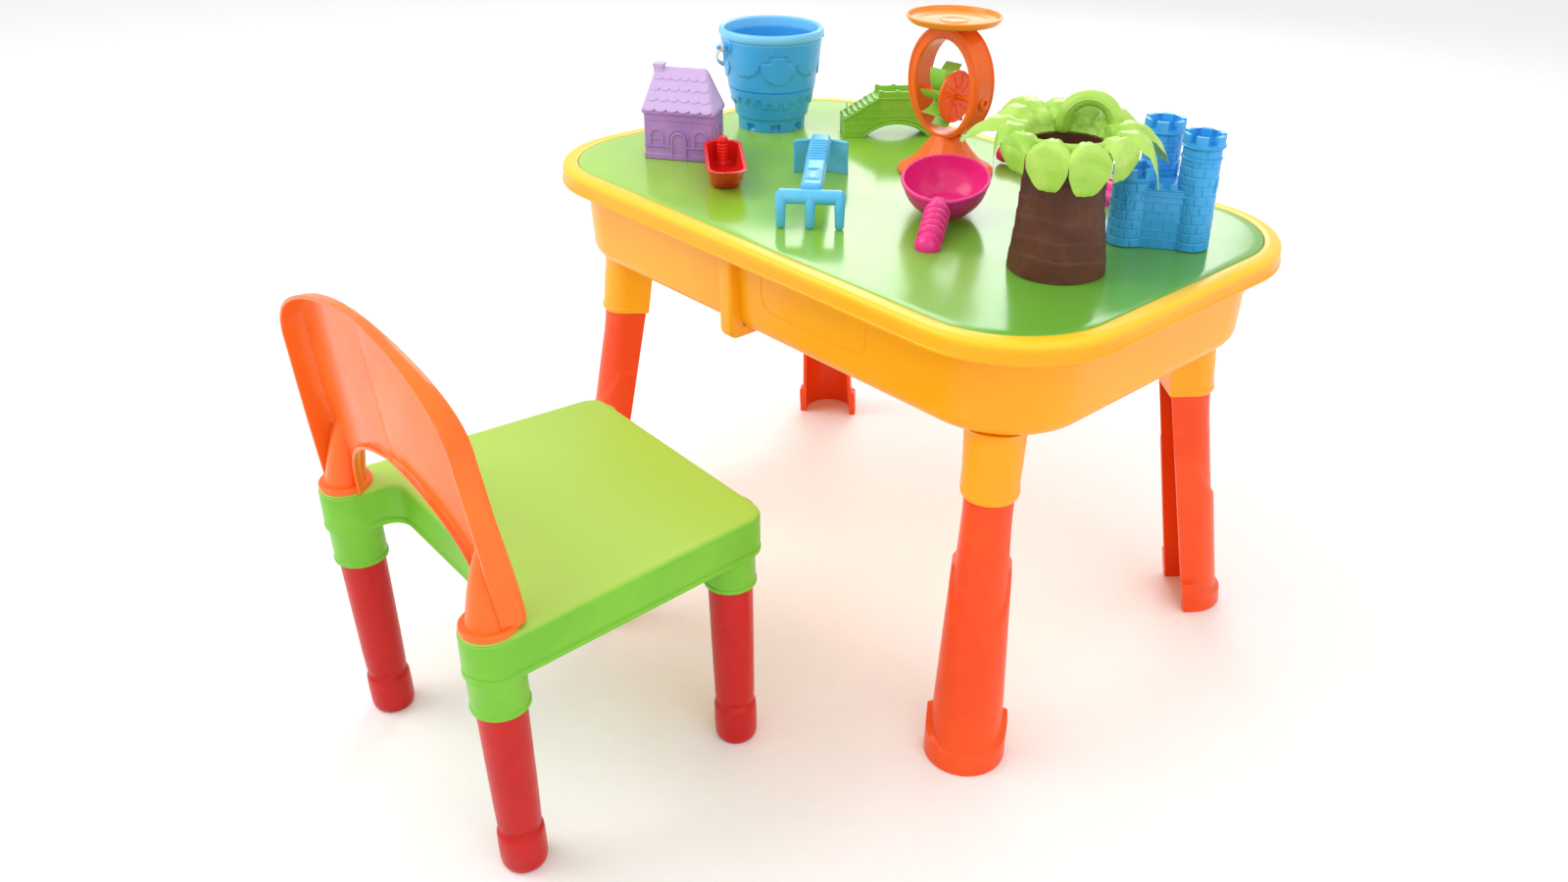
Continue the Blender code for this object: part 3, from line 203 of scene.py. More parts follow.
MATERIALS = {
    # tub yellow, with a painted highlight: paler towards the lit top of the rim
    "yellow": plastic("tub_yellow", (252, 176, 14), (250, 164, 8), 0.32, 5.0, 380, 0.05, 0.14, 0.0,
                      ((0.0, 0.0, 1.0), 0.4300, 0.4402, (253, 204, 40))),
    # lid lime, with painted sheen and shade: paler on the left, darker green towards +X
    "lime": plastic("lid_lime", (158, 206, 62), (142, 196, 54), 0.20, 3.0, 300, 0.03, 0.35, 0.0,
                    ((1.0, 0.35, 0.0), -0.20, 0.36, (106, 172, 56)), 0.04),
    "orange": plastic("leg_orange", (244, 82, 16), (238, 70, 12), 0.34, 9.0, 420, 0.06, 0.10),
    "mill_orange": plastic("mill_orange", (246, 112, 22), (242, 98, 16), 0.30, 12.0, 420, 0.04, 0.14),
    "dish_orange": plastic("dish_orange", (250, 150, 44), (246, 138, 34), 0.30, 12.0, 420, 0.04, 0.14),
    "amber": plastic("back_amber", (248, 118, 34), (244, 106, 28), 0.30, 8.0, 420, 0.05, 0.14),
    # paler amber for the backrest's bevelled edges: a painted highlight where the edges catch the light
    "amber_painted_highlight": plastic("back_amber_painted_highlight", (255, 178, 90), (252, 160, 70), 0.30, 8.0, 420, 0.04, 0.14),
    # seat green, with a painted highlight: paler on the lit top of the seat
    "green": plastic("seat_green", (126, 198, 52), (114, 188, 46), 0.36, 8.0, 400, 0.06, 0.12, 0.0,
                     ((0.0, 0.0, 1.0), 0.2500, 0.2542, (170, 212, 84))),
    "bridge_green": plastic("bridge_green", (150, 206, 74), (134, 196, 62), 0.34, 20.0, 400, 0.06, 0.14),
    "leaf": plastic("leaf_green", (186, 222, 104), (156, 204, 72), 0.32, 26.0, 500, 0.08, 0.16, 0.06),
    "red": plastic("leg_red", (200, 20, 12), (188, 12, 8), 0.36, 12.0, 420, 0.06, 0.10),
    "scarlet": plastic("scoop_red", (228, 38, 28), (216, 28, 22), 0.30, 14.0, 420, 0.05, 0.14),
    # house purple, with a painted highlight: paler towards the lit roof
    "purple": plastic("house_purple", (178, 134, 200), (160, 118, 190), 0.38, 18.0, 500, 0.07, 0.10, 0.0,
                      ((0.0, 0.0, 1.0), 0.4900, 0.4960, (202, 176, 224))),
    "blue": plastic("bucket_blue", (74, 176, 236), (58, 162, 226), 0.30, 11.0, 420, 0.05, 0.14),
    # bucket blue, with a painted highlight: paler on the lit top of the rim
    "blue_lit_rim": plastic("bucket_blue_lit_rim", (74, 176, 236), (58, 162, 226), 0.30, 11.0, 420, 0.05, 0.14, 0.0,
                        ((0.0, 0.0, 1.0), 0.5405, 0.5450, (124, 202, 244))),
    "sky": plastic("rake_sky", (106, 196, 240), (86, 184, 234), 0.32, 14.0, 420, 0.05, 0.14),
    "magenta": plastic("ladle_magenta", (238, 52, 142), (230, 40, 126), 0.26, 14.0, 420, 0.04, 0.20),
    "brown": plastic("trunk_brown", (100, 56, 40), (82, 44, 31), 0.44, 34.0, 300, 0.25, 0.06),
    "white": plastic("bail_white", (222, 222, 226), (204, 204, 210), 0.34, 20.0, 420, 0.05, 0.14),
}


# ---------------------------------------------------------------- shapes

def arc(centre, radius, start, end, steps):
    turns = [start + (end - start) * i / steps for i in range(steps + 1)]
    return [(centre[0] + radius * cos(t), centre[1] + radius * sin(t)) for t in turns]


def rounded_rectangle(half_x, half_y, radius, steps=16, centre=(0, 0)):
    points = []
    for quarter in range(4):
        side_x = 1 if quarter in (0, 3) else -1
        side_y = 1 if quarter in (0, 1) else -1
        middle = (centre[0] + side_x * (half_x - radius), centre[1] + side_y * (half_y - radius))
        points += arc(middle, radius, quarter * pi / 2, (quarter + 1) * pi / 2, steps)
    return points


def at_height(points, z):
    return [(x, y, z) for x, y in points]


def ease(value):
    value = max(0.0, min(1.0, value))
    return value * value * (3 - 2 * value)


def moved(x=0.0, y=0.0, z=0.0, turn=0.0, axis="Z"):
    return Matrix.Translation((x, y, z)) @ Matrix.Rotation(turn, 4, axis)


def loft(rings, loop=False, caps=True):
    """A skin over rings of the same number of points; a ring of one point closes to a tip."""
    bm = bmesh.new()
    loops = [[bm.verts.new(point) for point in ring] for ring in rings]
    pairs = list(zip(loops, loops[1:])) + ([(loops[-1], loops[0])] if loop else [])
    count = max(len(ring) for ring in loops)
    for low, high in pairs:
        for i in range(count):
            j = (i + 1) % count
            corners = []
            for vertex in (low[i % len(low)], low[j % len(low)], high[j % len(high)], high[i % len(high)]):
                if vertex not in corners:
                    corners.append(vertex)
            if len(corners) > 2:
                bm.faces.new(corners)
    if caps and not loop:
        for ends in (loops[0], loops[-1]):
            if len(ends) > 2:
                bm.faces.new(ends)
    return bm


def lathe(profile, steps=56, relief=None, loop=False):
    """A profile of (radius, height) turned round Z, with an optional relief(angle, radius, z)."""
    rings = []
    for radius, z in profile:
        if radius < 1e-6:
            rings.append([(0, 0, z)])
            continue
        ring = []
        for i in range(steps):
            turn = 2 * pi * i / steps
            reach = relief(turn, radius, z) if relief else radius
            ring.append((reach * cos(turn), reach * sin(turn), z))
        rings.append(ring)
    return loft(rings, loop=loop)


def tube(path, radius, sides=14, closed=False, flat=1.0, up=None, blunt=True):
    """A rounded rod along a path. radius is a number or a function of the share of the path."""
    points = [Vector(point) for point in path]
    last = len(points) - 1
    across = Vector(up) if up else None
    rings = []
    for i, point in enumerate(points):
        if closed:
            along = points[(i + 1) % len(points)] - points[i - 1]
        else:
            along = points[min(i + 1, last)] - points[max(i - 1, 0)]
        along.normalize()
        if across is None:
            across = along.orthogonal()
        across = (across - along * across.dot(along)).normalized()
        side = along.cross(across)
        size = radius(i / last) if callable(radius) else radius
        circle = [across * cos(2 * pi * k / sides) * size + side * sin(2 * pi * k / sides) * size * flat
                  for k in range(sides)]
        if blunt and not closed and i == 0:
            rings.append([point - along * size * 0.35 + step * 0.45 for step in circle])
            rings.append([point - along * size * 0.22 + step * 0.82 for step in circle])
        rings.append([point + step for step in circle])
        if blunt and not closed and i == last:
            rings.append([point + along * size * 0.22 + step * 0.82 for step in circle])
            rings.append([point + along * size * 0.35 + step * 0.45 for step in circle])
    return loft(rings, loop=closed)


def block(low, high, edge=0.0010, segments=3):
    bm = bmesh.new()
    bmesh.ops.create_cube(bm, size=1.0)
    for vertex in bm.verts:
        vertex.co = [a + (c + 0.5) * (b - a) for a, b, c in zip(low, high, vertex.co)]
    room = min(b - a for a, b in zip(low, high)) * 0.45
    bmesh.ops.bevel(bm, geom=list(bm.edges), offset=min(edge, room), segments=segments, profile=0.6,
                    affect="EDGES")
    return bm


def slab(outline, low, high, edge=0.0008):
    """An outline in X and Y made solid between two heights, with softened edges."""
    middle = Vector((sum(x for x, y in outline) / len(outline), sum(y for x, y in outline) / len(outline)))
    span = max((Vector(point) - middle).length for point in outline)
    shrink = 1 - edge / span

    def ring(share, z):
        return [(middle.x + (x - middle.x) * share, middle.y + (y - middle.y) * share, z) for x,
                y in outline]

    return loft([ring(shrink, low), ring(1, low + edge), ring(1, high - edge), ring(shrink, high)])




class Piece:
    """Closed shells gathered into one mesh."""

    def __init__(self):
        self.bm = bmesh.new()

    def add(self, shell, *matrices):
        for matrix in reversed(matrices):
            shell.transform(matrix)
        bmesh.ops.recalc_face_normals(shell, faces=shell.faces)
        mesh = bpy.data.meshes.new("shell")
        shell.to_mesh(mesh)
        shell.free()
        self.bm.from_mesh(mesh)
        bpy.data.meshes.remove(mesh)
        return self

    def done(self, name, body, nodes, finish, place=None, sharp=38, modifiers=()):
        mesh = bpy.data.meshes.new(name)
        if place:
            self.bm.transform(place)
        self.bm.to_mesh(mesh)
        self.bm.free()
        made = bpy.data.objects.new(name, mesh)
        bpy.context.scene.collection.objects.link(made)
        for kind, values in modifiers:
            added = made.modifiers.new(kind.lower(), kind)
            for key, value in values.items():
                setattr(added, key, value)
        if modifiers:
            bpy.context.view_layer.update()
            solid = made.evaluated_get(bpy.context.evaluated_depsgraph_get())
            baked = bpy.data.meshes.new_from_object(solid)
            made.modifiers.clear()
            made.data = baked
            bpy.data.meshes.remove(mesh)
            baked.name = name
        kept = [face.material_index for face in made.data.polygons]
        made.data.materials.clear()
        made.data.materials.append(MATERIALS[finish])
        made.data.polygons.foreach_set("material_index", kept)
        made.data.shade_smooth()
        made.data.set_sharp_from_angle(angle=radians(sharp))
        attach(made, body)
        if nodes:
            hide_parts(*nodes)
        return made


AT_TABLE = Matrix.Translation(MIDDLE)
AT_CHAIR = AT_TABLE @ moved(*CHAIR_PLACE, 0.0, CHAIR_TURN)


def on_lid(place, turn, z=0.0):
    return AT_TABLE @ moved(*place, LID_TOP + z, turn)


# ---------------------------------------------------------------- table

def rim_ring(inset, z):
    radius = max(RIM_CORNER - inset, 0.004)
    return at_height(rounded_rectangle(RIM_HALF[0] - inset, RIM_HALF[1] - inset, radius, 18), z)


def tub_wall(z):
    return TUB_INSET + TUB_TAPER * (TABLE_HEIGHT - z) / TUB_DEPTH


def leg_axis(z):
    share = z / SOCKET_BOTTOM
    return tuple(foot + (top - foot) * share for foot, top in zip(LEG_FOOT, LEG_SOCKET))


def leg_radius(z):
    return LEG_FOOT_RADIUS + (LEG_TOP_RADIUS - LEG_FOOT_RADIUS) * min(1.0, z / SOCKET_BOTTOM)


def leg_straight(z):
    return LEG_FOOT_STRAIGHT + (LEG_TOP_STRAIGHT - LEG_FOOT_STRAIGHT) * min(1.0, z / SOCKET_BOTTOM)


def corner_points(points, z, side):
    axis = leg_axis(z)
    placed = []
    for along, across in points:
        x = axis[0] + along * cos(LEG_TURN) - across * sin(LEG_TURN)
        y = axis[1] + along * sin(LEG_TURN) + across * cos(LEG_TURN)
        placed.append((side[0] * x, side[1] * y, z))
    return placed


def channel(reach, straight, steps=30):
    """One side of a leg's section; reach is a radius, or a function of the angle."""
    radius = reach if callable(reach) else (lambda turn: reach)
    points = [(-straight * (1 - i / 4), -radius(-pi / 2)) for i in range(4)]
    for i in range(steps + 1):
        turn = -pi / 2 + pi * i / steps
        points.append((radius(turn) * cos(turn), radius(turn) * sin(turn)))
    return points + [(-straight * (i / 4), radius(pi / 2)) for i in range(1, 5)]


def build_tub():
    tub = Piece()
    low, under, floor = TABLE_HEIGHT - RIM_LIP, LEDGE - TUB_WALL, TUB_BOTTOM + TUB_WALL
    profile = [(tub_wall(TUB_BOTTOM) + TUB_FILLET + 0.012, TUB_BOTTOM)]
    for i in range(8):
        turn = pi / 2 * i / 7
        profile.append((tub_wall(TUB_BOTTOM + TUB_FILLET) + TUB_FILLET * (1 - sin(turn)),
                        TUB_BOTTOM + TUB_FILLET * (1 - cos(turn))))
    edge = tub_wall(under)
    profile += [(edge, under - 0.006), (edge - 0.0012, under - 0.002), (edge - 0.005, under),
                (LIP_WALL + 0.003, under), (LIP_WALL, under - 0.003), (LIP_WALL, low + 0.001),
                (LIP_WALL - 0.0006, low), (0.0008, low), (0.0002, low + 0.0004), (0.0, low + 0.0012),
                (0.0, low + 0.0024), (0.0008, low + 0.0032), (0.0012, low + 0.0046),
                (0.0014, TABLE_HEIGHT - 0.0060)]
    for i in range(1, 8):
        turn = pi / 2 * i / 7
        profile.append((0.0014 + 0.0056 * (1 - cos(turn)), TABLE_HEIGHT - 0.0056 + 0.0056 * sin(turn)))
    profile += [(0.0120, TABLE_HEIGHT + 0.0004), (RIM_WIDTH - 0.0016, TABLE_HEIGHT + 0.0003),
                (RIM_WIDTH - 0.0005, TABLE_HEIGHT - 0.0002), (RIM_WIDTH, TABLE_HEIGHT - 0.0012),
                (RIM_WIDTH, LEDGE + 0.0004), (RIM_WIDTH + 0.0006, LEDGE)]
    inner = tub_wall(LEDGE) + TUB_WALL
    profile += [(inner - 0.0008, LEDGE), (inner, LEDGE - 0.0010)]
    for i in range(8):
        turn = pi / 2 * (7 - i) / 7
        z = floor + TUB_FILLET * (1 - cos(turn))
        profile.append((tub_wall(floor + TUB_FILLET) + TUB_WALL + TUB_FILLET * (1 - sin(turn)), z))
    profile.append((inner + TUB_FILLET + 0.014, floor))
    tub.add(loft([rim_ring(inset, z) for inset, z in profile]))

    # divider between the basins, with its ends let into the walls
    half = RIM_HALF[1] - tub_wall(floor) - 0.001
    tub.add(block((DIVIDER_X - DIVIDER_WIDTH / 2, -half, floor - 0.001),
                  (DIVIDER_X + DIVIDER_WIDTH / 2, half, LEDGE), 0.0024, 4))

    # keel round the outside
    keel_low = TUB_BOTTOM - KEEL_BELOW

    def keel_ring(inset, x):
        side, bottom = KEEL_HALF - inset, keel_low + inset
        outline = [(side, under), (-side, under)]
        outline += arc((-side + KEEL_CORNER, bottom + KEEL_CORNER), KEEL_CORNER, pi, 1.5 * pi, 10)
        outline += arc((side - KEEL_CORNER, bottom + KEEL_CORNER), KEEL_CORNER, 1.5 * pi, 2 * pi, 10)
        return [(x, y, z) for y, z in outline]

    half, soft = DIVIDER_WIDTH / 2, 0.0032
    rings = [keel_ring(soft * (1 - sin(t)), DIVIDER_X + half - soft * (1 - cos(t)))
             for t in (0, pi / 8, pi / 4, 3 * pi / 8, pi / 2)]
    rings += [keel_ring(soft * (1 - sin(t)), DIVIDER_X - half + soft * (1 - cos(t)))
              for t in (pi / 2, 3 * pi / 8, pi / 4, pi / 8, 0)]
    tub.add(loft(rings))

    # raised outline of a panel on each long wall
    for side in (-1, 1):
        z_low, z_high = TUB_BOTTOM + 0.034, LEDGE - 0.020
        panel = rounded_rectangle(0.070, (z_high - z_low) / 2, 0.016, 8, (0.085, (z_low + z_high) / 2))
        path = [(x, side * (RIM_HALF[1] - tub_wall(z) + 0.0001), z) for x, z in panel]
        tub.add(tube(path, 0.0007, 8, closed=True))

    # tapered sockets, hollow for the legs, with a rolled lower edge and a shoulder under the tub
    radius, straight = LEG_TOP_RADIUS + GAP + SOCKET_WALL, LEG_TOP_STRAIGHT + GAP + SOCKET_WALL
    for side in CORNERS.values():
        levels = [(LEG_TOP + GAP, LEG_TOP_RADIUS + GAP, LEG_TOP_STRAIGHT + GAP),
                  (SOCKET_BOTTOM + 0.0010, LEG_TOP_RADIUS + GAP, LEG_TOP_STRAIGHT + GAP),
                  (SOCKET_BOTTOM, LEG_TOP_RADIUS + GAP + 0.0006, LEG_TOP_STRAIGHT + GAP + 0.0006),
                  (SOCKET_BOTTOM, radius - 0.0010, straight - 0.0010),
                  (SOCKET_BOTTOM + 0.0010, radius - 0.0002, straight),
                  (SOCKET_BOTTOM + 0.0040, radius + 0.0004, straight),
                  (SOCKET_BOTTOM + 0.0058, radius + 0.0004, straight),
                  (SOCKET_BOTTOM + 0.0066, radius - 0.0003, straight),
                  (TUB_BOTTOM - 0.0130, radius + 0.0014, straight),
                  (TUB_BOTTOM - 0.0060, radius + 0.0022, straight + 0.0010),
                  (TUB_BOTTOM - 0.0016, radius + 0.0046, straight + 0.0030),
                  (TUB_BOTTOM + 0.0015, radius + 0.0080, straight + 0.0050)]
        tub.add(loft([corner_points(channel(r, s, 22), z, side) for z, r, s in levels]))
    tub.done("tub_shell", "table", ["tub"], "yellow", AT_TABLE)


def build_lid():
    lid = Piece()
    soft = 0.0014
    rings = []
    for inset, z in [(0.0010, TABLE_HEIGHT - LID_THICK), (0, TABLE_HEIGHT - LID_THICK + 0.0010)]:
        rings.append((inset, z))
    rings += [(soft * (1 - cos(t)), TABLE_HEIGHT - soft * (1 - sin(t)))
              for t in (0, pi / 8, pi / 4, 3 * pi / 8, pi / 2)]
    rings += [(0.0100, TABLE_HEIGHT), (0.0600, TABLE_HEIGHT)]
    lid.add(loft([at_height(rounded_rectangle(LID_HALF[0] - i, LID_HALF[1] - i, LID_CORNER - i, 24), z)
                  for i, z in rings]))
    lid.done("lid_sheet", "lid", ["lid"], "lime", AT_TABLE)


def build_table_leg(name, side):
    """A channel open towards the middle, with a scooped face and a horned foot collar."""
    leg = Piece()
    levels = [0.0, 0.0012] + [0.0012 + 0.0016 * i for i in range(1, 28)]
    levels += [0.055, 0.070, 0.085, 0.100, 0.112] + [0.118 + 0.0028 * i for i in range(31)]
    levels += [0.215, 0.235, 0.255, SOCKET_BOTTOM, 0.29, LEG_TOP]
    rings = []
    for z in levels:
        plain = leg_radius(z)
        in_socket = ease((z - 0.250) / 0.012)

        def reach(turn):
            edge = abs(turn) / (pi / 2)
            scoop = ease((z - (0.138 + 0.052 * edge ** 2.2)) / 0.006)
            face = plain + 0.0012 - 0.0030 * scoop
            face += (plain - face) * in_socket
            collar = 1 - ease((z - (0.0175 + 0.0200 * edge ** 3)) / 0.0022)
            face += (FOOT_RADIUS - face) * collar
            return face - 0.0012 * (1 - ease(z / 0.0015))

        inner = min(LEG_FOOT_RADIUS - LEG_WALL, plain - LEG_WALL)
        straight = leg_straight(z)
        section = channel(reach, straight) + list(reversed(channel(inner, straight)))
        rings.append(corner_points(section, z, side))
    leg.add(loft(rings))
    leg.done("table_leg_shell_" + name, "table", ["table_leg_" + name], "orange", AT_TABLE)


# ---------------------------------------------------------------- chair

def seat_outline(inset=0.0):
    half, front = SEAT_FRONT[0] - inset, SEAT_FRONT[1] - inset
    corner, radius, rear = SEAT_FRONT_CORNER - inset, POST_RADIUS - inset, SEAT_REAR + inset
    slope = atan2(REAR_POST[0] + POST_RADIUS - SEAT_FRONT[0], SEAT_FRONT[1] - REAR_POST[1])
    right = arc((half - corner, front - corner), corner, pi / 2, slope, 12)
    right += arc(REAR_POST, radius, slope, -pi, 28)
    fillet = 0.018
    inner_x = REAR_POST[0] - radius
    right += arc((inner_x - fillet, rear - fillet), fillet, 0, pi / 2, 8)
    return right + [(-x, y) for x, y in reversed(right)]


def leg_shift(place, foot):
    """Leans a shape built on Z so that it runs from its foot to its place under the seat."""
    lean = Matrix.Identity(4)
    for axis in (0, 1):
        lean[axis][2] = (place[axis] - foot[axis]) / SEAT_HEIGHT
        lean[axis][3] = foot[axis]
    return lean


CHAIR_CORNERS = {
    "rear_right": (REAR_POST, REAR_FOOT),
    "rear_left": ((-REAR_POST[0], REAR_POST[1]), (-REAR_FOOT[0], REAR_FOOT[1])),
    "front_right": (FRONT_POST, FRONT_FOOT),
    "front_left": ((-FRONT_POST[0], FRONT_POST[1]), (-FRONT_FOOT[0], FRONT_FOOT[1])),
}


def build_seat():
    seat = Piece()
    low, top, wall = SEAT_HEIGHT - SEAT_APRON, SEAT_HEIGHT, SEAT_WALL
    profile = [(0.012, top - wall), (wall + 0.002, top - wall), (wall, top - wall - 0.002),
               (wall, low + 0.0008), (wall - 0.0008, low), (0.0010, low), (0.0002, low + 0.0004),
               (0.0, low + 0.0012), (0.0, low + 0.0046), (0.0012, low + 0.0056), (0.0014, low + 0.0072),
               (0.0004, low + 0.0082), (0.0004, top - 0.0050)]
    profile += [(0.0004 + 0.0045 * (1 - cos(t)), top - 0.0045 + 0.0045 * sin(t))
                for t in (pi / 10, pi / 5, 3 * pi / 10, 2 * pi / 5, pi / 2)]
    profile += [(0.0080, top + 0.0001), (0.0120, top + 0.0001)]
    seat.add(loft([at_height(seat_outline(inset), z) for inset, z in profile]))
    radius = SLEEVE_RADIUS
    for place, foot in CHAIR_CORNERS.values():
        sleeve = lathe([(CHAIR_LEG_RADIUS + GAP, CHAIR_LEG_TOP + GAP),
                        (CHAIR_LEG_RADIUS + GAP, SLEEVE_BOTTOM + 0.001),
                        (CHAIR_LEG_RADIUS + 0.0010, SLEEVE_BOTTOM), (radius - 0.0008, SLEEVE_BOTTOM),
                        (radius, SLEEVE_BOTTOM + 0.0008), (radius, SLEEVE_BOTTOM + 0.0040),
                        (radius - 0.0009, SLEEVE_BOTTOM + 0.0048), (radius - 0.0009, low - 0.004),
                        (radius - 0.0002, low), (radius + 0.0004, low + 0.004), (radius, top - wall / 2)],
                       48)
        seat.add(sleeve, leg_shift(place, foot))
    # a shallow seat round each plug hole
    for side in (-1, 1):
        ring = lathe([(0.0215, top + 0.0002), (0.0225, top + 0.0006), (0.0236, top + 0.0002),
                      (0.0236, top - 0.001), (0.0215, top - 0.001)], 48, loop=True)
        seat.add(ring, moved(side * REAR_POST[0], REAR_POST[1]))
    seat.done("seat_shell", "chair", ["chair_seat"], "green", AT_CHAIR)


def build_chair_leg(name, place, foot):
    leg = Piece()
    shaft, neck, pad = CHAIR_LEG_RADIUS, CHAIR_LEG_RADIUS * 0.84, CHAIR_FOOT_RADIUS
    profile = [(0, CHAIR_LEG_TOP), (shaft - 0.0012, CHAIR_LEG_TOP), (shaft, CHAIR_LEG_TOP - 0.0012),
               (shaft, SLEEVE_BOTTOM), (shaft * 0.985, 0.150), (shaft * 0.955, 0.100),
               (shaft * 0.93, 0.070),
               (shaft * 0.905, 0.0500), (shaft * 0.90, 0.0482), (shaft * 0.875, 0.0466),
               (neck, 0.0455), (neck * 0.99, 0.0438), (neck, 0.0420), (pad * 0.93, 0.0405),
               (pad * 0.985, 0.0388), (pad, 0.0360), (pad * 1.01, 0.0230), (pad, 0.0090),
               (pad * 0.975, 0.0048), (pad * 0.92, 0.0018), (pad * 0.84, 0.0), (0, 0)]
    leg.add(lathe(profile, 48), leg_shift(place, foot))
    leg.done("chair_leg_turned_" + name, "chair", ["chair_leg_" + name], "red", AT_CHAIR)


def back_half_width(share):
    shoulder = BACK_SHOULDER / BACK_HEIGHT
    if share <= shoulder:
        return BACK_HALF - BACK_TAPER * (share / shoulder) ** 1.5
    lift = (share - shoulder) / (1 - shoulder)
    return (BACK_HALF - BACK_TAPER) * sqrt(max(0.0, 1 - lift ** BACK_ROUND))


def arch_half_width(share):
    height = share * BACK_HEIGHT / ARCH_HEIGHT
    return ARCH_HALF * sqrt(max(0.0, 1 - height * height)) if height < 1 else 0.0


def leaning(ends, share):
    return ends[0] + (ends[1] - ends[0]) * share


def back_y(x, share, flange):
    middle = leaning(BACK_MIDDLE, share)
    if flange:
        return leaning(BACK_REAR, share)
    return middle + (leaning(BACK_SIDE, share) - middle) * (x / BACK_HALF) ** 2


def build_backrest():
    """A bowed panel with a rearward flange and a rolled arch, thickened to a shell."""
    arch_share, shoulder = ARCH_HEIGHT / BACK_HEIGHT, BACK_SHOULDER / BACK_HEIGHT
    lift = (PLUG_HEIGHT / 2 + GAP) / BACK_HEIGHT
    shares = [lift + (arch_share - lift) * sin(i / 16 * pi / 2) for i in range(17)]
    shares += [arch_share + (shoulder - arch_share) * i / 6 for i in range(1, 7)]
    shares += [shoulder + (1 - shoulder) * 0.992 * sin(i / 20 * pi / 2) for i in range(1, 21)]
    columns = 14
    shell = bmesh.new()
    rows, rolled = [], []
    for i, share in enumerate(shares):
        z = SEAT_HEIGHT + share * BACK_HEIGHT
        inner, outer = arch_half_width(share), back_half_width(share)
        xs = [inner + (outer - inner) * k / columns for k in range(columns + 1)]
        row = [shell.verts.new((x, back_y(x, share, 0), z)) for x in xs]
        side, rear = back_y(xs[-1], share, 0), back_y(xs[-1], share, 1)
        row += [shell.verts.new((xs[-1], side + (rear - side) * k / 3, z)) for k in (1, 2, 3)]
        rows.append(row)
        if i < 17:
            rolled.append(shell.verts.new((inner, back_y(inner, share, 0) - 0.0065, z)))
    top = rows[-1]
    for depth in (1, 2, 3):
        line = [shell.verts.new((v.co.x, v.co.y + (back_y(v.co.x, 1, 1) - v.co.y) * depth / 3, v.co.z))
                for v in top[:columns]]
        rows.append(line + [top[columns + depth]] * 4)
    for low, high in zip(rows, rows[1:]):
        for i in range(len(low) - 1):
            corners = []
            for vertex in (low[i], low[i + 1], high[i + 1], high[i]):
                if vertex not in corners:
                    corners.append(vertex)
            if len(corners) > 2 and not shell.faces.get(corners):
                shell.faces.new(corners)
    for i in range(16):
        shell.faces.new((rolled[i], rows[i][0], rows[i + 1][0], rolled[i + 1]))
    # the moulding's corners flow into each other: relax all but the outer edges
    foot = SEAT_HEIGHT + lift * BACK_HEIGHT
    on_foot = {v for v in shell.verts if v.co.z < foot + 0.0001}
    on_middle = {v for v in shell.verts if v.co.x < 0.00001}
    free = [v for v in shell.verts if not v.is_boundary or v in on_foot or v in on_middle]
    free = [v for v in free if len(v.link_edges) > 2]
    for _ in range(5):
        targets = [sum((e.other_vert(v).co for e in v.link_edges), Vector()) / len(v.link_edges)
                   for v in free]
        for v, target in zip(free, targets):
            kept = v.co.copy()
            v.co = v.co.lerp(target, 0.5)
            if v in on_foot:
                v.co.z = kept.z
            if v in on_middle:
                v.co.x = 0.0
    back = Piece()
    back.add(shell)
    # the bevel's faces take material 1, the paler amber: a painted highlight along the shell's edges
    shape = (("MIRROR", {"merge_threshold": 0.00001, "use_clip": True}),
             ("SOLIDIFY", {"thickness": BACK_WALL, "offset": 0.0}),
             ("BEVEL", {"width": 0.0009, "segments": 3, "angle_limit": radians(50), "limit_method": "ANGLE",
                        "material": 1}))
    made = back.done("backrest_shell", "chair", ["chair_backrest"], "amber", AT_CHAIR,
                     modifiers=shape)
    # material 1: the paler amber, a painted highlight on the bevelled edges
    made.data.materials.append(MATERIALS["amber_painted_highlight"])

    posts = Piece()
    low = SEAT_HEIGHT + GAP
    for side in (-1, 1):
        at = moved(side * REAR_POST[0], REAR_POST[1])
        radius = POST_RADIUS - 0.0017
        posts.add(lathe([(0, SEAT_HEIGHT - 0.012), (0.0085, SEAT_HEIGHT - 0.012),
                         (0.0095, SEAT_HEIGHT - 0.011),
                         (0.0095, low), (radius - 0.0006, low), (radius, low + 0.0006),
                         (radius, low + PLUG_HEIGHT - 0.0012), (radius - 0.0012, low + PLUG_HEIGHT),
                         (0.012, low + PLUG_HEIGHT + 0.0004), (0, low + PLUG_HEIGHT + 0.0004)], 48), at)
        rings = []
        height = 0.0780
        for i in range(19):
            share = sin(i / 18 * pi / 2)
            radius = 0.0168 * (1 - share ** 2.0) ** 0.62 + 0.0006
            if i == 0:
                radius += 0.0014
            x, y = REAR_POST[0] - 0.0060 * share, REAR_POST[1] + 0.0130 * share
            rings.append([(side * x + radius * cos(t), y + radius * sin(t),
                           low + PLUG_HEIGHT - 0.001 + height * share)
                          for t in [2 * pi * k / 36 for k in range(36)]])
        posts.add(loft(rings))
    posts.done("backrest_posts", "chair", [], "amber", AT_CHAIR)


# ---------------------------------------------------------------- toys

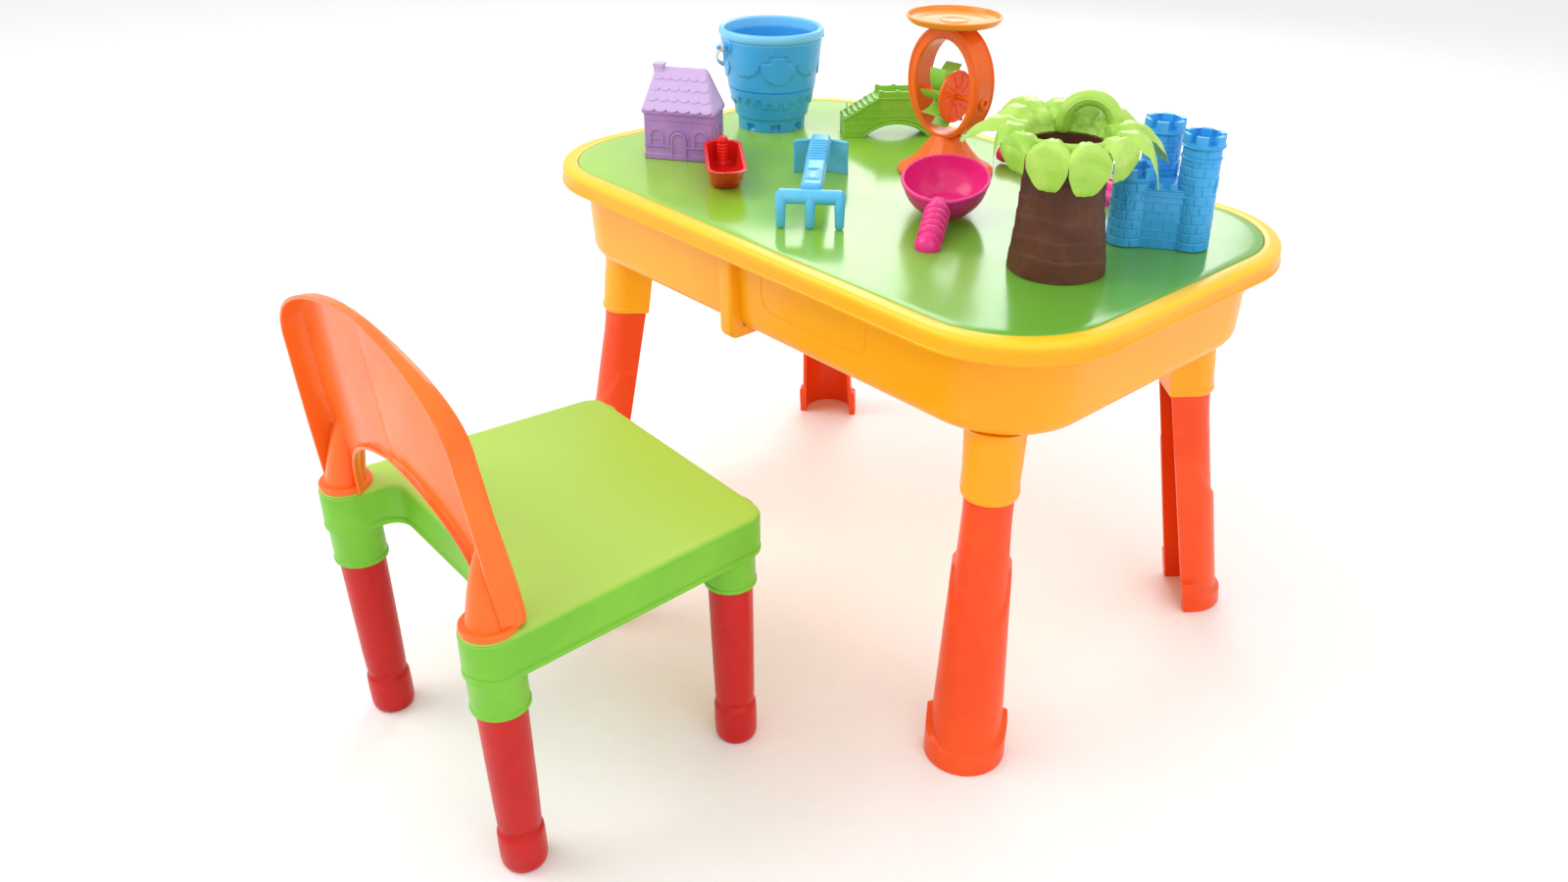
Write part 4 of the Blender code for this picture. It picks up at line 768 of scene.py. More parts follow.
HOUSE_PLACE, HOUSE_TURN, HOUSE = (-0.2373, -0.0927), radians(35.7), (0.0790, 0.0450)
HOUSE_EAVE, HOUSE_RIDGE, HOUSE_HIP, CHIMNEY_TOP = 0.0520, 0.0920, 0.0115, 0.0990
BUCKET_PLACE, BUCKET_TURN = (-0.2682, 0.0605), radians(80.0)
BUCKET_BASE, BUCKET_RIM, BUCKET_HEIGHT, BUCKET_WALL = 0.0385, 0.0600, 0.1140, 0.0022
BAIL_PIVOT_HEIGHT, BAIL_RADIUS, BAIL_REST = 0.0965, 0.0660, radians(55.0)
SCOOP_PLACE, SCOOP_TURN = (-0.1390, -0.1165), radians(-36.2)
SCOOP_LENGTH, SCOOP_WIDTH, SCOOP_HEIGHT, SCOOP_LIP = 0.1130, 0.0375, 0.0270, 0.0300
RAKE_PLACE, RAKE_TURN = (-0.0367, -0.0828), radians(-46.4)
RAKE_LENGTH, RAKE_PITCH, RAKE_HEAD_HEIGHT = 0.1855, 0.0280, 0.0340
TINE, HANDLE_WIDTH, HOE_CURVE = 0.0110, 0.0200, 0.0555
BRIDGE_PLACE, BRIDGE_TURN = (-0.1483, 0.1450), radians(53.9)
BRIDGE_LENGTH, BRIDGE_DEPTH, BRIDGE_END, BRIDGE_DECK = 0.1230, 0.0320, 0.0212, 0.0450
BRIDGE_ARCH_HALF, BRIDGE_ARCH_HEIGHT = 0.0375, 0.0150
MILL_PLACE, MILL_TURN = (-0.0140, 0.0860), radians(1.8)
MILL_BASE_RADIUS, MILL_NECK, MILL_NECK_HEIGHT = 0.0510, 0.0150, 0.0400
MILL_RING, MILL_RING_HEIGHT, MILL_DEPTH = (0.0480, 0.0580), 0.0960, 0.0280
MILL_WINDOW, MILL_WINDOW_HEIGHT = (0.0365, 0.0492), 0.0915
MILL_AXLE_HEIGHT, AXLE_RADIUS = 0.0815, 0.0030
DISH_RADIUS, DISH_HEIGHT = 0.0490, 0.0080
WHEEL_RADIUS, WHEEL_WIDTH, WHEEL_HUB, PADDLES, WHEEL_MIDDLE = 0.0330, 0.0210, 0.0110, 8, -0.0040
DISC_RADIUS, DISC_THICK = 0.0270, 0.0025
LADLE_PLACE, LADLE_TURN = (0.0785, -0.0180), radians(-56.4)
LADLE_RADIUS, LADLE_DEPTH, LADLE_TILT, LADLE_WALL = 0.0420, 0.0400, radians(14.0), 0.0020
LADLE_HANDLE_RADIUS = 0.0128
PALM_PLACE = (0.2370, -0.0440)
TRUNK_BASE, TRUNK_TOP, TRUNK_HEIGHT, TRUNK_WALL = 0.0450, 0.0350, 0.1120, 0.0025
LOOP, LOOP_TURN, LOOP_SIDE = (0.0250, 0.0330), radians(30), radians(100)
SHOVEL_PLACE, SHOVEL_TURN = (0.0880, 0.1500), radians(-4.0)
SHOVEL_LENGTH, SHOVEL_BLADE, SHOVEL_ARCH, SHOVEL_WALL = 0.1700, 0.0700, 0.0200, 0.0022
CASTLE_PLACE, CASTLE_TURN = (0.2610, 0.0840), radians(36.0)
TOWER_RADIUS, TOWER_TALL, TOWER_LOW, CASTLE_WALL_HEIGHT = 0.0185, 0.1080, 0.0740, 0.0620


def arch_path(x, half, low, spring, y, steps=14):
    """A doorway's outline in the X-Z plane."""
    path = [(x - half, y, low)]
    path += [(x - half * cos(pi * i / steps), y, spring + half * sin(pi * i / steps))
             for i in range(steps + 1)]
    return path + [(x + half, y, low)]


def build_house():
    house = Piece()
    half_x, half_y = HOUSE[0] / 2, HOUSE[1] / 2
    eave, ridge = HOUSE_EAVE, HOUSE_RIDGE
    wall = 0.0025

    def shell_ring(inset, z, share=0.0):
        x = half_x - inset - HOUSE_HIP * share
        y = (half_y - inset) * (1 - share) + 0.0022 * share
        radius = max(0.0012, 0.0026 * (1 - share))
        return at_height(rounded_rectangle(x, y, min(radius, y * 0.9), 4), z)

    rings = [shell_ring(wall, eave - 0.002), shell_ring(wall, 0.0006), shell_ring(wall - 0.0006, 0),
             shell_ring(0.0006, 0), shell_ring(0, 0.0006), shell_ring(0, 0.0056),
             shell_ring(0.0008, 0.0064),
             shell_ring(0.0008, eave - 0.0012)]
    house.add(loft(rings))
    roof = [shell_ring(0.0008, eave - 0.003), shell_ring(-0.0006, eave - 0.0026),
            shell_ring(-0.0010, eave - 0.0014),
            shell_ring(-0.0006, eave)]
    roof += [shell_ring(0.0, eave + (ridge - eave) * s, s) for s in (0.02, 0.5, 0.985)]
    house.add(loft(roof))
    # ridge cap
    top = half_x - HOUSE_HIP
    house.add(tube([(-top, 0, ridge - 0.0006), (top, 0, ridge - 0.0006)], 0.0030, 12))
    for side in (-1, 1):
        for end in (-1, 1):
            path = [(end * (half_x - 0.0005), side * (half_y - 0.0005), eave),
                    (end * top, side * 0.0015, ridge - 0.001)]
            house.add(tube(path, 0.0016, 10))
    # four courses of scalloped tiles on both slopes
    rows, slope = 4, atan2(half_y - 0.002, ridge - eave)
    run = (ridge - eave) / cos(slope)
    for face in (0, pi):
        for row in range(rows):
            low_share, high_share = (row + 0.10) / rows, (row + 1.04) / rows
            low_half = half_x - HOUSE_HIP * low_share - 0.0012
            high_half = half_x - HOUSE_HIP * min(1.0, high_share) - 0.0012
            count = 6
            pitch = 2 * low_half / count
            tiles = [(high_half, run * (high_share - low_share)),
                     (-high_half, run * (high_share - low_share))]
            for k in range(count):
                x = -low_half + pitch * (k + 0.5)
                tiles += [(px, py * 0.62) for px, py in arc((x, 0), pitch * 0.5, pi, 2 * pi, 10)]
            face_at = moved(0, 0, 0, face) @ Matrix.Translation((0, -half_y + 0.0004, eave))
            tilt = Matrix.Rotation(pi / 2 - slope, 4, "X")
            lift = Matrix.Translation((0, low_share * run + 0.002, 0.0003)) @ Matrix.Rotation(radians(-4),
                                                                                              4, "X")
            house.add(slab(tiles, -0.0006, 0.0020, 0.0003), face_at @ tilt @ lift)
    # a plinth line, an arched door and an arch either side of it, on both long walls
    for face in (0, pi):
        y = -half_y + 0.0006
        turn = moved(0, 0, 0, face)
        house.add(tube(arch_path(0, 0.0078, 0.0004, 0.0215, y), 0.0016, 10), turn)
        house.add(tube(arch_path(0, 0.0110, 0.0150, 0.0225, y), 0.0010, 10), turn)
        house.add(block((-half_x + 0.0012, y - 0.0012, 0.0136), (-0.0082, y + 0.0010, 0.0156), 0.0006, 2),
                  turn)
        house.add(block((0.0082, y - 0.0012, 0.0136), (half_x - 0.0012, y + 0.0010, 0.0156), 0.0006, 2),
                  turn)
        for x in (-0.0245, 0.0245):
            house.add(tube(arch_path(x, 0.0070, 0.0146, 0.0262, y), 0.0013, 10), turn)
            house.add(tube([(x - 0.0062, y, 0.0225), (x + 0.0062, y, 0.0225)], 0.0008, 8), turn)
        house.add(tube([(-half_x + 0.002, y, eave - 0.0090), (half_x - 0.002, y, eave - 0.0090)], 0.0007,
                       8), turn)
    for end in (-1, 1):
        path = [(end * (half_x - 0.0004), y, z) for y, _, z in arch_path(0, 0.0070, 0.0160, 0.0310, 0)]
        house.add(tube(path, 0.0012, 10))
    # chimney with a lip
    x = -half_x + HOUSE_HIP - 0.002
    house.add(block((x, -0.005, eave + 0.010), (x + 0.010, 0.005, CHIMNEY_TOP - 0.003), 0.0008))
    house.add(block((x - 0.001, -0.006, CHIMNEY_TOP - 0.0036), (x + 0.011, 0.006, CHIMNEY_TOP), 0.0009))
    house.done("house_moulding", "house", ["house_mould"], "purple",
               on_lid(HOUSE_PLACE, HOUSE_TURN), 34)


def build_bucket():
    """A bucket with a rolled rim, a scalloped band in relief, a battlement band and a notched foot."""
    bucket = Piece()
    wall, rim, base, height = BUCKET_WALL, BUCKET_RIM, BUCKET_BASE, BUCKET_HEIGHT
    lobes = 8

    def outer(z):
        if z < 0.0155:
            return base + 0.0015 * z / 0.0155
        if z < 0.0490:
            return base + 0.0040 + (rim - 0.0110 - base - 0.0040) * (z - 0.0155) / 0.0335
        return rim - 0.0090 + (0.0058) * (z - 0.0490) / (height - 0.0567)

    def relief(turn, radius, z):
        phase = (turn * lobes / (2 * pi)) % 1.0
        bow = sqrt(max(0.0, 1 - (2 * phase - 1) ** 2))
        odd = int(turn * lobes / (2 * pi)) % 2
        if 0.050 <= z <= 0.1035:
            # hanging lobes, with a notched line cut above them
            hang = 0.0790 - (0.0210 if odd else 0.0140) * bow
            radius += 0.0020 * ease((z - hang) / 0.0014)
            step = 0.0900 if abs(phase - 0.5) < 0.20 else 0.0835
            if odd and abs(phase - 0.5) < 0.42:
                radius -= 0.0013 * ease(1 - abs(z - step) / 0.0020)
                if abs(abs(phase - 0.5) - 0.20) < 0.035:
                    radius -= 0.0013 * ease((z - 0.0830) / 0.0010) * ease((0.0905 - z) / 0.0010)
        elif 0.0175 <= z < 0.0475:
            # hanging merlons in groups of three
            teeth = (turn * 24 / (2 * pi)) % 1.0 < 0.55
            merlon = (0.0285 if odd else 0.0330) if teeth else (0.0345 if odd else 0.0385)
            radius += 0.0018 * ease((z - merlon) / 0.0012)
        elif z < 0.0155 and 0.30 < phase < 0.62:
            radius -= 0.0045 * ease((0.0085 - z) / 0.0010)
        return radius

    profile = [(0, 0.0022), (base - 0.0035, 0.0022), (base - 0.0020, 0.0)]
    heights = [0.0, 0.0008] + [0.0016 * i for i in range(1, 10)]
    profile += [(outer(z), z) for z in heights]
    profile += [(outer(z), z) for z in [0.0156 + 0.0014 * i for i in range(24)]]
    profile += [(outer(z), z) for z in [0.0492 + 0.0013 * i for i in range(42)]]
    bead = 0.0036
    profile += [(rim - 0.0030 + bead * cos(t), height - 0.0052 + 0.0052 * sin(t))
                for t in [-pi / 2 + pi * i / 10 for i in range(11)]]
    profile += [(rim - 0.0058, height - 0.0016), (rim - 0.0066, height - 0.0056)]
    profile += [(outer(z) - wall, z) for z in (0.095, 0.07, 0.050)]
    profile += [(outer(z) - wall, z) for z in (0.046, 0.030, 0.0165)]
    profile += [(base - wall, 0.0062), (base - wall - 0.003, 0.0045), (0, 0.0045)]
    body_top = height - 0.010

    def outside(turn, radius, z):
        return relief(turn, radius, z) if radius > outer(z) - wall * 0.5 and z < body_top else radius

    bucket.add(lathe(profile, 208, outside))
    for side in (0, pi):
        ear = lathe([(0, 0), (0.0075, 0), (0.0082, 0.0010), (0.0082, 0.0042), (0.0070, 0.0052),
                     (0, 0.0052)], 32)
        bucket.add(ear, moved(0, 0, 0, side), moved(rim - 0.0062, 0, BAIL_PIVOT_HEIGHT),
                   moved(0, 0, 0, pi / 2, "Y"))
        reach = BAIL_RADIUS + 0.0050 - rim + 0.0052
        pin = lathe([(0, 0), (0.0016, 0), (0.0016, reach - 0.0014), (0.0028, reach - 0.0008),
                     (0.0024, reach), (0, reach)],
                    20)
        bucket.add(pin, moved(0, 0, 0, side), moved(rim - 0.0052, 0, BAIL_PIVOT_HEIGHT),
                   moved(0, 0, 0, pi / 2, "Y"))
    # the bucket's blue has a painted highlight on its rim top
    bucket.done("bucket_shell", "bucket", ["bucket"], "blue_lit_rim", on_lid(BUCKET_PLACE, BUCKET_TURN),
                36)

    bail = Piece()
    steps = 48
    path = []
    for i in range(steps + 1):
        turn = pi * i / steps
        out = BAIL_RADIUS * sin(turn)
        path.append((BAIL_RADIUS * cos(turn), out * sin(BAIL_REST), -out * cos(BAIL_REST)))
    bail.add(tube(path, 0.0034, 16, flat=0.34, up=(0, cos(BAIL_REST), sin(BAIL_REST))))
    for side in (-1, 1):
        eye = lathe([(0.0019, -0.0016), (0.0044, -0.0016), (0.0050, -0.0010), (0.0050, 0.0010),
                     (0.0044, 0.0016),
                     (0.0019, 0.0016)], 28, loop=True)
        bail.add(eye, moved(side * BAIL_RADIUS), moved(0, 0, 0, pi / 2, "Y"))
    bail.done("bucket_bail", "bail", ["bucket_handle"], "white",
              on_lid(BUCKET_PLACE, BUCKET_TURN, BAIL_PIVOT_HEIGHT))


def build_scoop():
    scoop = Piece()
    height, wall = SCOOP_HEIGHT, 0.0020

    def ring(inset, share, z):
        """From the floor (0) to the mouth (1); the mouth runs on at one end."""
        floor_half = (SCOOP_LENGTH - SCOOP_LIP) / 2
        half = floor_half + (SCOOP_LENGTH / 2 - floor_half) * share - inset
        centre = -SCOOP_LIP / 2 * (1 - share)
        width = SCOOP_WIDTH / 2 - 0.003 * (1 - share) - inset
        return at_height(rounded_rectangle(half, width, min(width - 0.001, 0.011 + 0.004 * share), 10,
                                           (centre, 0)), z)

    soft = 0.005
    rings = [ring(soft + 0.004, 0, 0)]
    rings += [ring(soft * (1 - sin(t)), 0.1 * sin(t), soft * (1 - cos(t)))
              for t in (0, pi / 8, pi / 4, 3 * pi / 8, pi / 2)]
    rings += [ring(0, s, s * height) for s in (0.35, 0.6, 0.88)]
    rings += [ring(-0.0010, 0.92, height * 0.92), ring(-0.0016, 0.95, height * 0.945),
              ring(-0.0016, 1, height * 0.985),
              ring(-0.0010, 1, height), ring(wall * 0.6, 1, height), ring(wall, 1, height * 0.985)]
    rings += [ring(wall, s, s * height) for s in (0.8, 0.5, 0.3)]
    rings += [ring(wall + soft * (1 - sin(t)), 0.1 * sin(t), wall + soft * (1 - cos(t)))
              for t in (pi / 2, 3 * pi / 8, pi / 4, pi / 8, 0)]
    rings.append(ring(wall + soft + 0.003, 0, wall))
    scoop.add(loft(rings))
    # upright grip at the closed end, ribbed, with a domed top
    profile = [(0, 0.0005), (0.0066, 0.0005)]
    for i in range(6):
        z = 0.0080 + 0.0036 * i
        profile += [(0.0062, z), (0.0056, z + 0.0008), (0.0056, z + 0.0018), (0.0062, z + 0.0026)]
    profile += [(0.0062, height + 0.0040), (0.0052, height + 0.0066), (0.0030, height + 0.0078),
                (0, height + 0.0080)]
    scoop.add(lathe(profile, 32), moved(-SCOOP_LENGTH / 2 + 0.012))
    scoop.add(tube([(0.012, 0, wall), (-0.028, 0, wall)], 0.0011, 10))
    scoop.done("scoop_shell", "scoop", ["red_scoop"], "scarlet", on_lid(SCOOP_PLACE, SCOOP_TURN))


def build_rake():
    rake = Piece()
    half, top = RAKE_LENGTH / 2, RAKE_HEAD_HEIGHT
    # bar and its three tines, each curved down from the bar
    reach = RAKE_PITCH + TINE / 2
    rake.add(tube([(half - 0.013, -reach + 0.004, top - 0.0050),
                   (half - 0.013, reach - 0.004, top - 0.0050)],
                  0.0072, 20, flat=1.2, up=(0, 0, 1)))
    for i in (-1, 0, 1):
        y = i * RAKE_PITCH
        path = [(half - 0.014, y, top - 0.004), (half - 0.0085, y, top - 0.0056),
                (half - 0.0062, y, top - 0.012),
                (half - 0.0060, y, 0.018), (half - 0.0064, y, 0.009), (half - 0.0072, y, 0.0016)]
        rake.add(tube(path, lambda s: (TINE / 2) * (1.02 - 0.22 * s), 16, up=(0, 1, 0)))
    # handle with cross ribs and a recessed panel near the bar
    low, high, side = top - 0.006, top + 0.0068, HANDLE_WIDTH / 2
    rake.add(block((-half + 0.0020, -side, low), (half - 0.016, side, high), 0.0050, 5))
    for i in range(8):
        x = -half + 0.030 + 0.0086 * i
        path = [(x, -side - 0.0002, top), (x, -side * 0.93, high - 0.0014),
                (x, -side * 0.72, high + 0.0004), (x, 0, high + 0.0008),
                (x, side * 0.72, high + 0.0004), (x, side * 0.93, high - 0.0014), (x, side + 0.0002, top)]
        rake.add(tube(path, 0.0013, 10))
    window = rounded_rectangle(0.0160, 0.0062, 0.0030, 6, (half - 0.046, 0))
    rake.add(tube([(x, y, high + 0.0002) for x, y in window], 0.0011, 10, closed=True))
    inner = rounded_rectangle(0.0118, 0.0034, 0.0020, 6, (half - 0.046, 0))
    rake.add(tube([(x, y, high + 0.0001) for x, y in inner], 0.0006, 8, closed=True))
    for side_y in (-1, 1):
        rake.add(tube([(-half + 0.010, side_y * side, top + 0.0002),
                       (half - 0.026, side_y * side, top + 0.0002)],
                      0.0009, 8))
    # hoe blade, bowed across, with a rolled top edge and a rib
    rings = []
    for z, lean in ((0.0, 0.0), (0.0010, 0.0), (top * 0.5, 0.0010), (top - 0.003, 0.0), (top - 0.001, 0.0)):
        blade = arc((-half + HOE_CURVE, 0), HOE_CURVE - lean, pi - 0.56, pi + 0.56, 24)
        blade += arc((-half + HOE_CURVE, 0), HOE_CURVE - 0.0030 - lean, pi + 0.56, pi - 0.56, 24)
        rings.append(at_height(blade, z))
    rake.add(loft(rings))
    edge = [(-half + HOE_CURVE - (HOE_CURVE - 0.0015) * cos(t), (HOE_CURVE - 0.0015) * sin(t), top - 0.0012)
            for t in [-0.55 + 1.10 * i / 20 for i in range(21)]]
    rake.add(tube(edge, 0.0021, 10))
    rake.add(tube([(-half + 0.0050, 0, 0.004), (-half + 0.0050, 0, top - 0.004), (-half + 0.014, 0, top)],
                  0.0024, 10))
    rake.done("rake_hoe_shell", "rake", ["rake_hoe"], "sky", on_lid(RAKE_PLACE, RAKE_TURN))


def build_bridge():
    bridge = Piece()
    half, deck_half = BRIDGE_LENGTH / 2, BRIDGE_LENGTH / 2 - 0.040
    rise, depth = BRIDGE_ARCH_HEIGHT, BRIDGE_DEPTH / 2
    radius = (BRIDGE_ARCH_HALF ** 2 + rise ** 2) / (2 * rise)
    span = atan2(BRIDGE_ARCH_HALF, radius - rise)
    under = arc((0, rise - radius), radius, pi / 2 + span, pi / 2 - span, 24)
    outline = [(-half, 0.0)] + under + [(half, 0.0), (half, BRIDGE_END - 0.002),
                                        (half - 0.0015, BRIDGE_END),
                                        (deck_half, BRIDGE_DECK), (-deck_half, BRIDGE_DECK),
                                        (-half + 0.0015, BRIDGE_END), (-half, BRIDGE_END - 0.002)]
    rings = [[(x * (1 - i / half), y, z * (1 - i / 0.05)) for x, z in outline]
             for y, i in ((-depth, 0.0008), (-depth + 0.0008, 0.0), (depth - 0.0008, 0.0), (depth, 0.0008))]
    bridge.add(loft(rings))
    for side in (-1, 1):
        y = side * depth
        for reach, size in ((0.0016, 0.0015), (0.0056, 0.0009)):
            path = [(x, y, z) for x, z in arc((0, rise - radius), radius + reach, pi / 2 + span,
                                              pi / 2 - span, 24)]
            bridge.add(tube(path, size, 10))
        slope_edge = [(half, y, BRIDGE_END - 0.0005), (deck_half, y, BRIDGE_DECK - 0.0005),
                      (-deck_half, y, BRIDGE_DECK - 0.0005), (-half, y, BRIDGE_END - 0.0005)]
        bridge.add(tube(slope_edge, 0.0013, 10))
        # stone courses and joints
        for row in range(4):
            z = 0.0068 + 0.0085 * row
            reach = half if z < BRIDGE_END else half - (z - BRIDGE_END) / (BRIDGE_DECK - BRIDGE_END) * 0.040
            gap = 0.0
            if z < rise + 0.007:
                gap = sqrt(max(0.0, (radius + 0.0062) ** 2 - (z - rise + radius) ** 2))
            for sign in (-1, 1):
                if reach - gap > 0.006:
                    bridge.add(tube([(sign * gap, y, z), (sign * (reach - 0.001), y, z)], 0.0007, 8))
            step = 0.0135
            start = (row % 2) * step / 2
            for k in range(-6, 7):
                x = k * step + start
                if gap + 0.003 < abs(x) < reach - 0.003 and z + 0.0085 < BRIDGE_DECK:
                    bridge.add(tube([(x, y, z), (x, y, z + 0.0085)], 0.0006, 8))
    # steps up each ramp
    for sign in (-1, 1):
        for i in range(7):
            share = (i + 0.5) / 7
            x, z = half - 0.040 * share, BRIDGE_END + (BRIDGE_DECK - BRIDGE_END) * share
            bridge.add(block((sign * x - 0.0022, -depth + 0.002, z - 0.002),
                             (sign * x + 0.0022, depth - 0.002, z + 0.0014),
                             0.0006, 2))
    for side in (-1, 1):
        low = side * (depth - 0.00175) - 0.00175
        bridge.add(block((-deck_half, low, BRIDGE_DECK - 0.002),
                         (deck_half, low + 0.0035, BRIDGE_DECK + 0.0072), 0.0009))
        for x in (-deck_half + 0.002, 0.0, deck_half - 0.002):
            bridge.add(block((x - 0.0024, low - 0.0004, BRIDGE_DECK - 0.003),
                             (x + 0.0024, low + 0.0039, BRIDGE_DECK + 0.0086),
                             0.0009))
    bridge.done("bridge_moulding", "bridge", ["bridge_mould"], "bridge_green",
                on_lid(BRIDGE_PLACE, BRIDGE_TURN), 34)


def build_mill():
    place = on_lid(MILL_PLACE, MILL_TURN)
    mill = Piece()
    foot = [(0, 0.0030), (MILL_BASE_RADIUS - 0.0040, 0.0030), (MILL_BASE_RADIUS - 0.0030, 0.0002),
            (MILL_BASE_RADIUS - 0.0008, 0.0),
            (MILL_BASE_RADIUS, 0.0010), (MILL_BASE_RADIUS, 0.0032), (MILL_BASE_RADIUS - 0.0010, 0.0044)]
    for i in range(1, 13):
        share = i / 12
        radius = MILL_BASE_RADIUS - 0.001 - (MILL_BASE_RADIUS - 0.001 - MILL_NECK) * share ** 0.72
        foot.append((radius, 0.0044 + (MILL_NECK_HEIGHT - 0.0044) * share ** 1.12))
    foot.append((0, MILL_NECK_HEIGHT + 0.001))

    def ridged(turn, radius, z):
        wave = 0.5 + 0.5 * cos(turn * 12)
        inside = 0.006 < z < 0.036
        return radius + (0.0007 * ease((wave - 0.55) / 0.3) if inside else 0)

    mill.add(lathe(foot, 96, ridged))
    steps, depth = 72, MILL_DEPTH / 2
    turns = [2 * pi * i / steps for i in range(steps)]

    def oval(size, height, inset, y):
        return [((size[0] - inset) * cos(t), y, height + (size[1] - inset) * sin(t)) for t in turns]

    soft, lip = 0.0012, 0.0010
    rings = [oval(MILL_RING, MILL_RING_HEIGHT, lip, 0)]
    for side in (1, -1):
        half = [oval(MILL_RING, MILL_RING_HEIGHT, lip, side * (depth - 0.004)),
                oval(MILL_RING, MILL_RING_HEIGHT, 0.0, side * (depth - 0.0032)),
                oval(MILL_RING, MILL_RING_HEIGHT, 0.0, side * (depth - soft)),
                oval(MILL_RING, MILL_RING_HEIGHT, soft, side * depth),
                oval(MILL_WINDOW, MILL_WINDOW_HEIGHT, -soft, side * depth),
                oval(MILL_WINDOW, MILL_WINDOW_HEIGHT, 0, side * (depth - soft))]
        rings += half if side > 0 else reversed(half)
    mill.add(loft(rings, loop=True))
    for side in (-1, 1):
        path = oval((MILL_RING[0] - 0.0035, MILL_RING[1] - 0.0035), MILL_RING_HEIGHT, 0, side * depth)
        mill.add(tube(path, 0.0008, 8, closed=True))
    top = MILL_RING_HEIGHT + MILL_RING[1]
    mill.add(lathe([(0, top - 0.0080), (0.0120, top - 0.0080), (0.0126, top - 0.0010),
                    (0.0135, top + 0.0008), (0, top + 0.0012)],
                   40))
    for side in (-1, 1):
        boss = lathe([(AXLE_RADIUS + GAP, 0), (0.0066, 0), (0.0072, 0.0008), (0.0072, 0.0020),
                      (0.0060, 0.0028),
                      (AXLE_RADIUS + GAP, 0.0028)], 32, loop=True)
        mill.add(boss, moved(side * (MILL_WINDOW[0] + 0.0084), 0, MILL_AXLE_HEIGHT),
                 moved(0, 0, 0, side * pi / 2, "Y"))
    mill.done("mill_stand", "mill", ["mill_frame"], "mill_orange", place)

    low, wall = top + 0.0012 + GAP, 0.0020
    dish = Piece()
    profile = [(0, low), (DISH_RADIUS - 0.0090, low), (DISH_RADIUS - 0.0040, low + 0.0008),
               (DISH_RADIUS - 0.0014, low + 0.0030),
               (DISH_RADIUS - 0.0006, low + DISH_HEIGHT - 0.0024),
               (DISH_RADIUS + 0.0004, low + DISH_HEIGHT - 0.0018),
               (DISH_RADIUS + 0.0004, low + DISH_HEIGHT - 0.0006),
               (DISH_RADIUS - 0.0004, low + DISH_HEIGHT),
               (DISH_RADIUS - wall, low + DISH_HEIGHT),
               (DISH_RADIUS - wall - 0.0008, low + DISH_HEIGHT - 0.0012),
               (DISH_RADIUS - wall - 0.0022, low + 0.0040), (DISH_RADIUS - 0.0085, low + wall + 0.0006),
               (DISH_RADIUS - 0.0120, low + wall), (0.0150, low + wall), (0.0140, low + wall + 0.0008),
               (0.0128, low + wall), (0.0055, low + wall - 0.0004), (0, low + wall - 0.0010)]
    dish.add(lathe(profile, 96))
    dish.done("mill_dish_shell", "mill", ["mill_dish"], "dish_orange", place)

    hub = on_lid(MILL_PLACE, MILL_TURN, MILL_AXLE_HEIGHT)
    wheel = Piece()
    lay = Matrix.Translation((WHEEL_MIDDLE, 0, 0)) @ Matrix.Rotation(pi / 2, 4, "Y")
    half = WHEEL_WIDTH / 2
    wheel.add(lathe([(AXLE_RADIUS + GAP, -half), (WHEEL_HUB - 0.001, -half), (WHEEL_HUB, -half + 0.001),
                     (WHEEL_HUB, half - 0.001), (WHEEL_HUB - 0.001, half), (AXLE_RADIUS + GAP, half)], 48,
                    loop=True), lay)
    # curved paddles, thick at the root
    for k in range(PADDLES):
        blade = []
        for i in range(9):
            share = i / 8
            reach = WHEEL_HUB - 0.002 + (WHEEL_RADIUS - WHEEL_HUB + 0.002) * share
            swing = -0.30 * share ** 1.4
            blade.append((reach * cos(swing), reach * sin(swing)))
        rear = []
        for i in range(8, -1, -1):
            share = i / 8
            reach = WHEEL_HUB - 0.002 + (WHEEL_RADIUS - WHEEL_HUB + 0.0008) * share
            swing = -0.30 * share ** 1.4 + (0.34 * (1 - share) ** 1.5 + 0.05)
            rear.append((reach * cos(swing), reach * sin(swing)))
        turn = Matrix.Rotation(2 * pi * k / PADDLES, 4, "Z")
        wheel.add(slab(blade + rear, -half, half, 0.0005), lay, turn)
    wheel.done("mill_wheel_shell", "wheel", ["mill_wheel"], "bridge_green", hub, 34)

    disc = Piece()
    disc_x = WHEEL_MIDDLE + half + GAP + DISC_THICK / 2
    flat = Matrix.Translation((disc_x, 0, 0)) @ Matrix.Rotation(pi / 2, 4, "Y")
    thick = DISC_THICK / 2
    disc.add(lathe([(AXLE_RADIUS + GAP, -thick), (DISC_RADIUS - 0.0006, -thick),
                    (DISC_RADIUS, -thick + 0.0006),
                    (DISC_RADIUS, thick - 0.0002), (DISC_RADIUS - 0.0008, thick + 0.0005),
                    (DISC_RADIUS - 0.0024, thick + 0.0005),
                    (DISC_RADIUS - 0.0030, thick), (0.0090, thick), (0.0082, thick + 0.0010),
                    (0.0056, thick + 0.0014),
                    (AXLE_RADIUS + GAP, thick + 0.0014)], 72, loop=True), flat)
    for k in range(10):
        turn = 2 * pi * k / 10
        bend = [(r * cos(turn + 0.25 * (r - 0.009) / 0.015), r * sin(turn + 0.25 * (r - 0.009) / 0.015),
                 thick)
                for r in (0.009, 0.013, 0.017, 0.021, 0.0242)]
        disc.add(tube(bend, 0.0008, 8), flat)
    disc.done("mill_disc_plate", "wheel", ["mill_disc"], "mill_orange", hub)

    axle = Piece()
    reach = MILL_RING[0] - 0.004
    axle.add(lathe([(0, -reach), (AXLE_RADIUS - 0.0008, -reach), (AXLE_RADIUS, -reach + 0.0008),
                    (AXLE_RADIUS, reach - 0.0008),
                    (AXLE_RADIUS - 0.0008, reach), (0, reach)], 28), Matrix.Rotation(pi / 2, 4, "Y"))
    axle.done("mill_axle_rod", "wheel", ["mill_axle"], "mill_orange", hub)


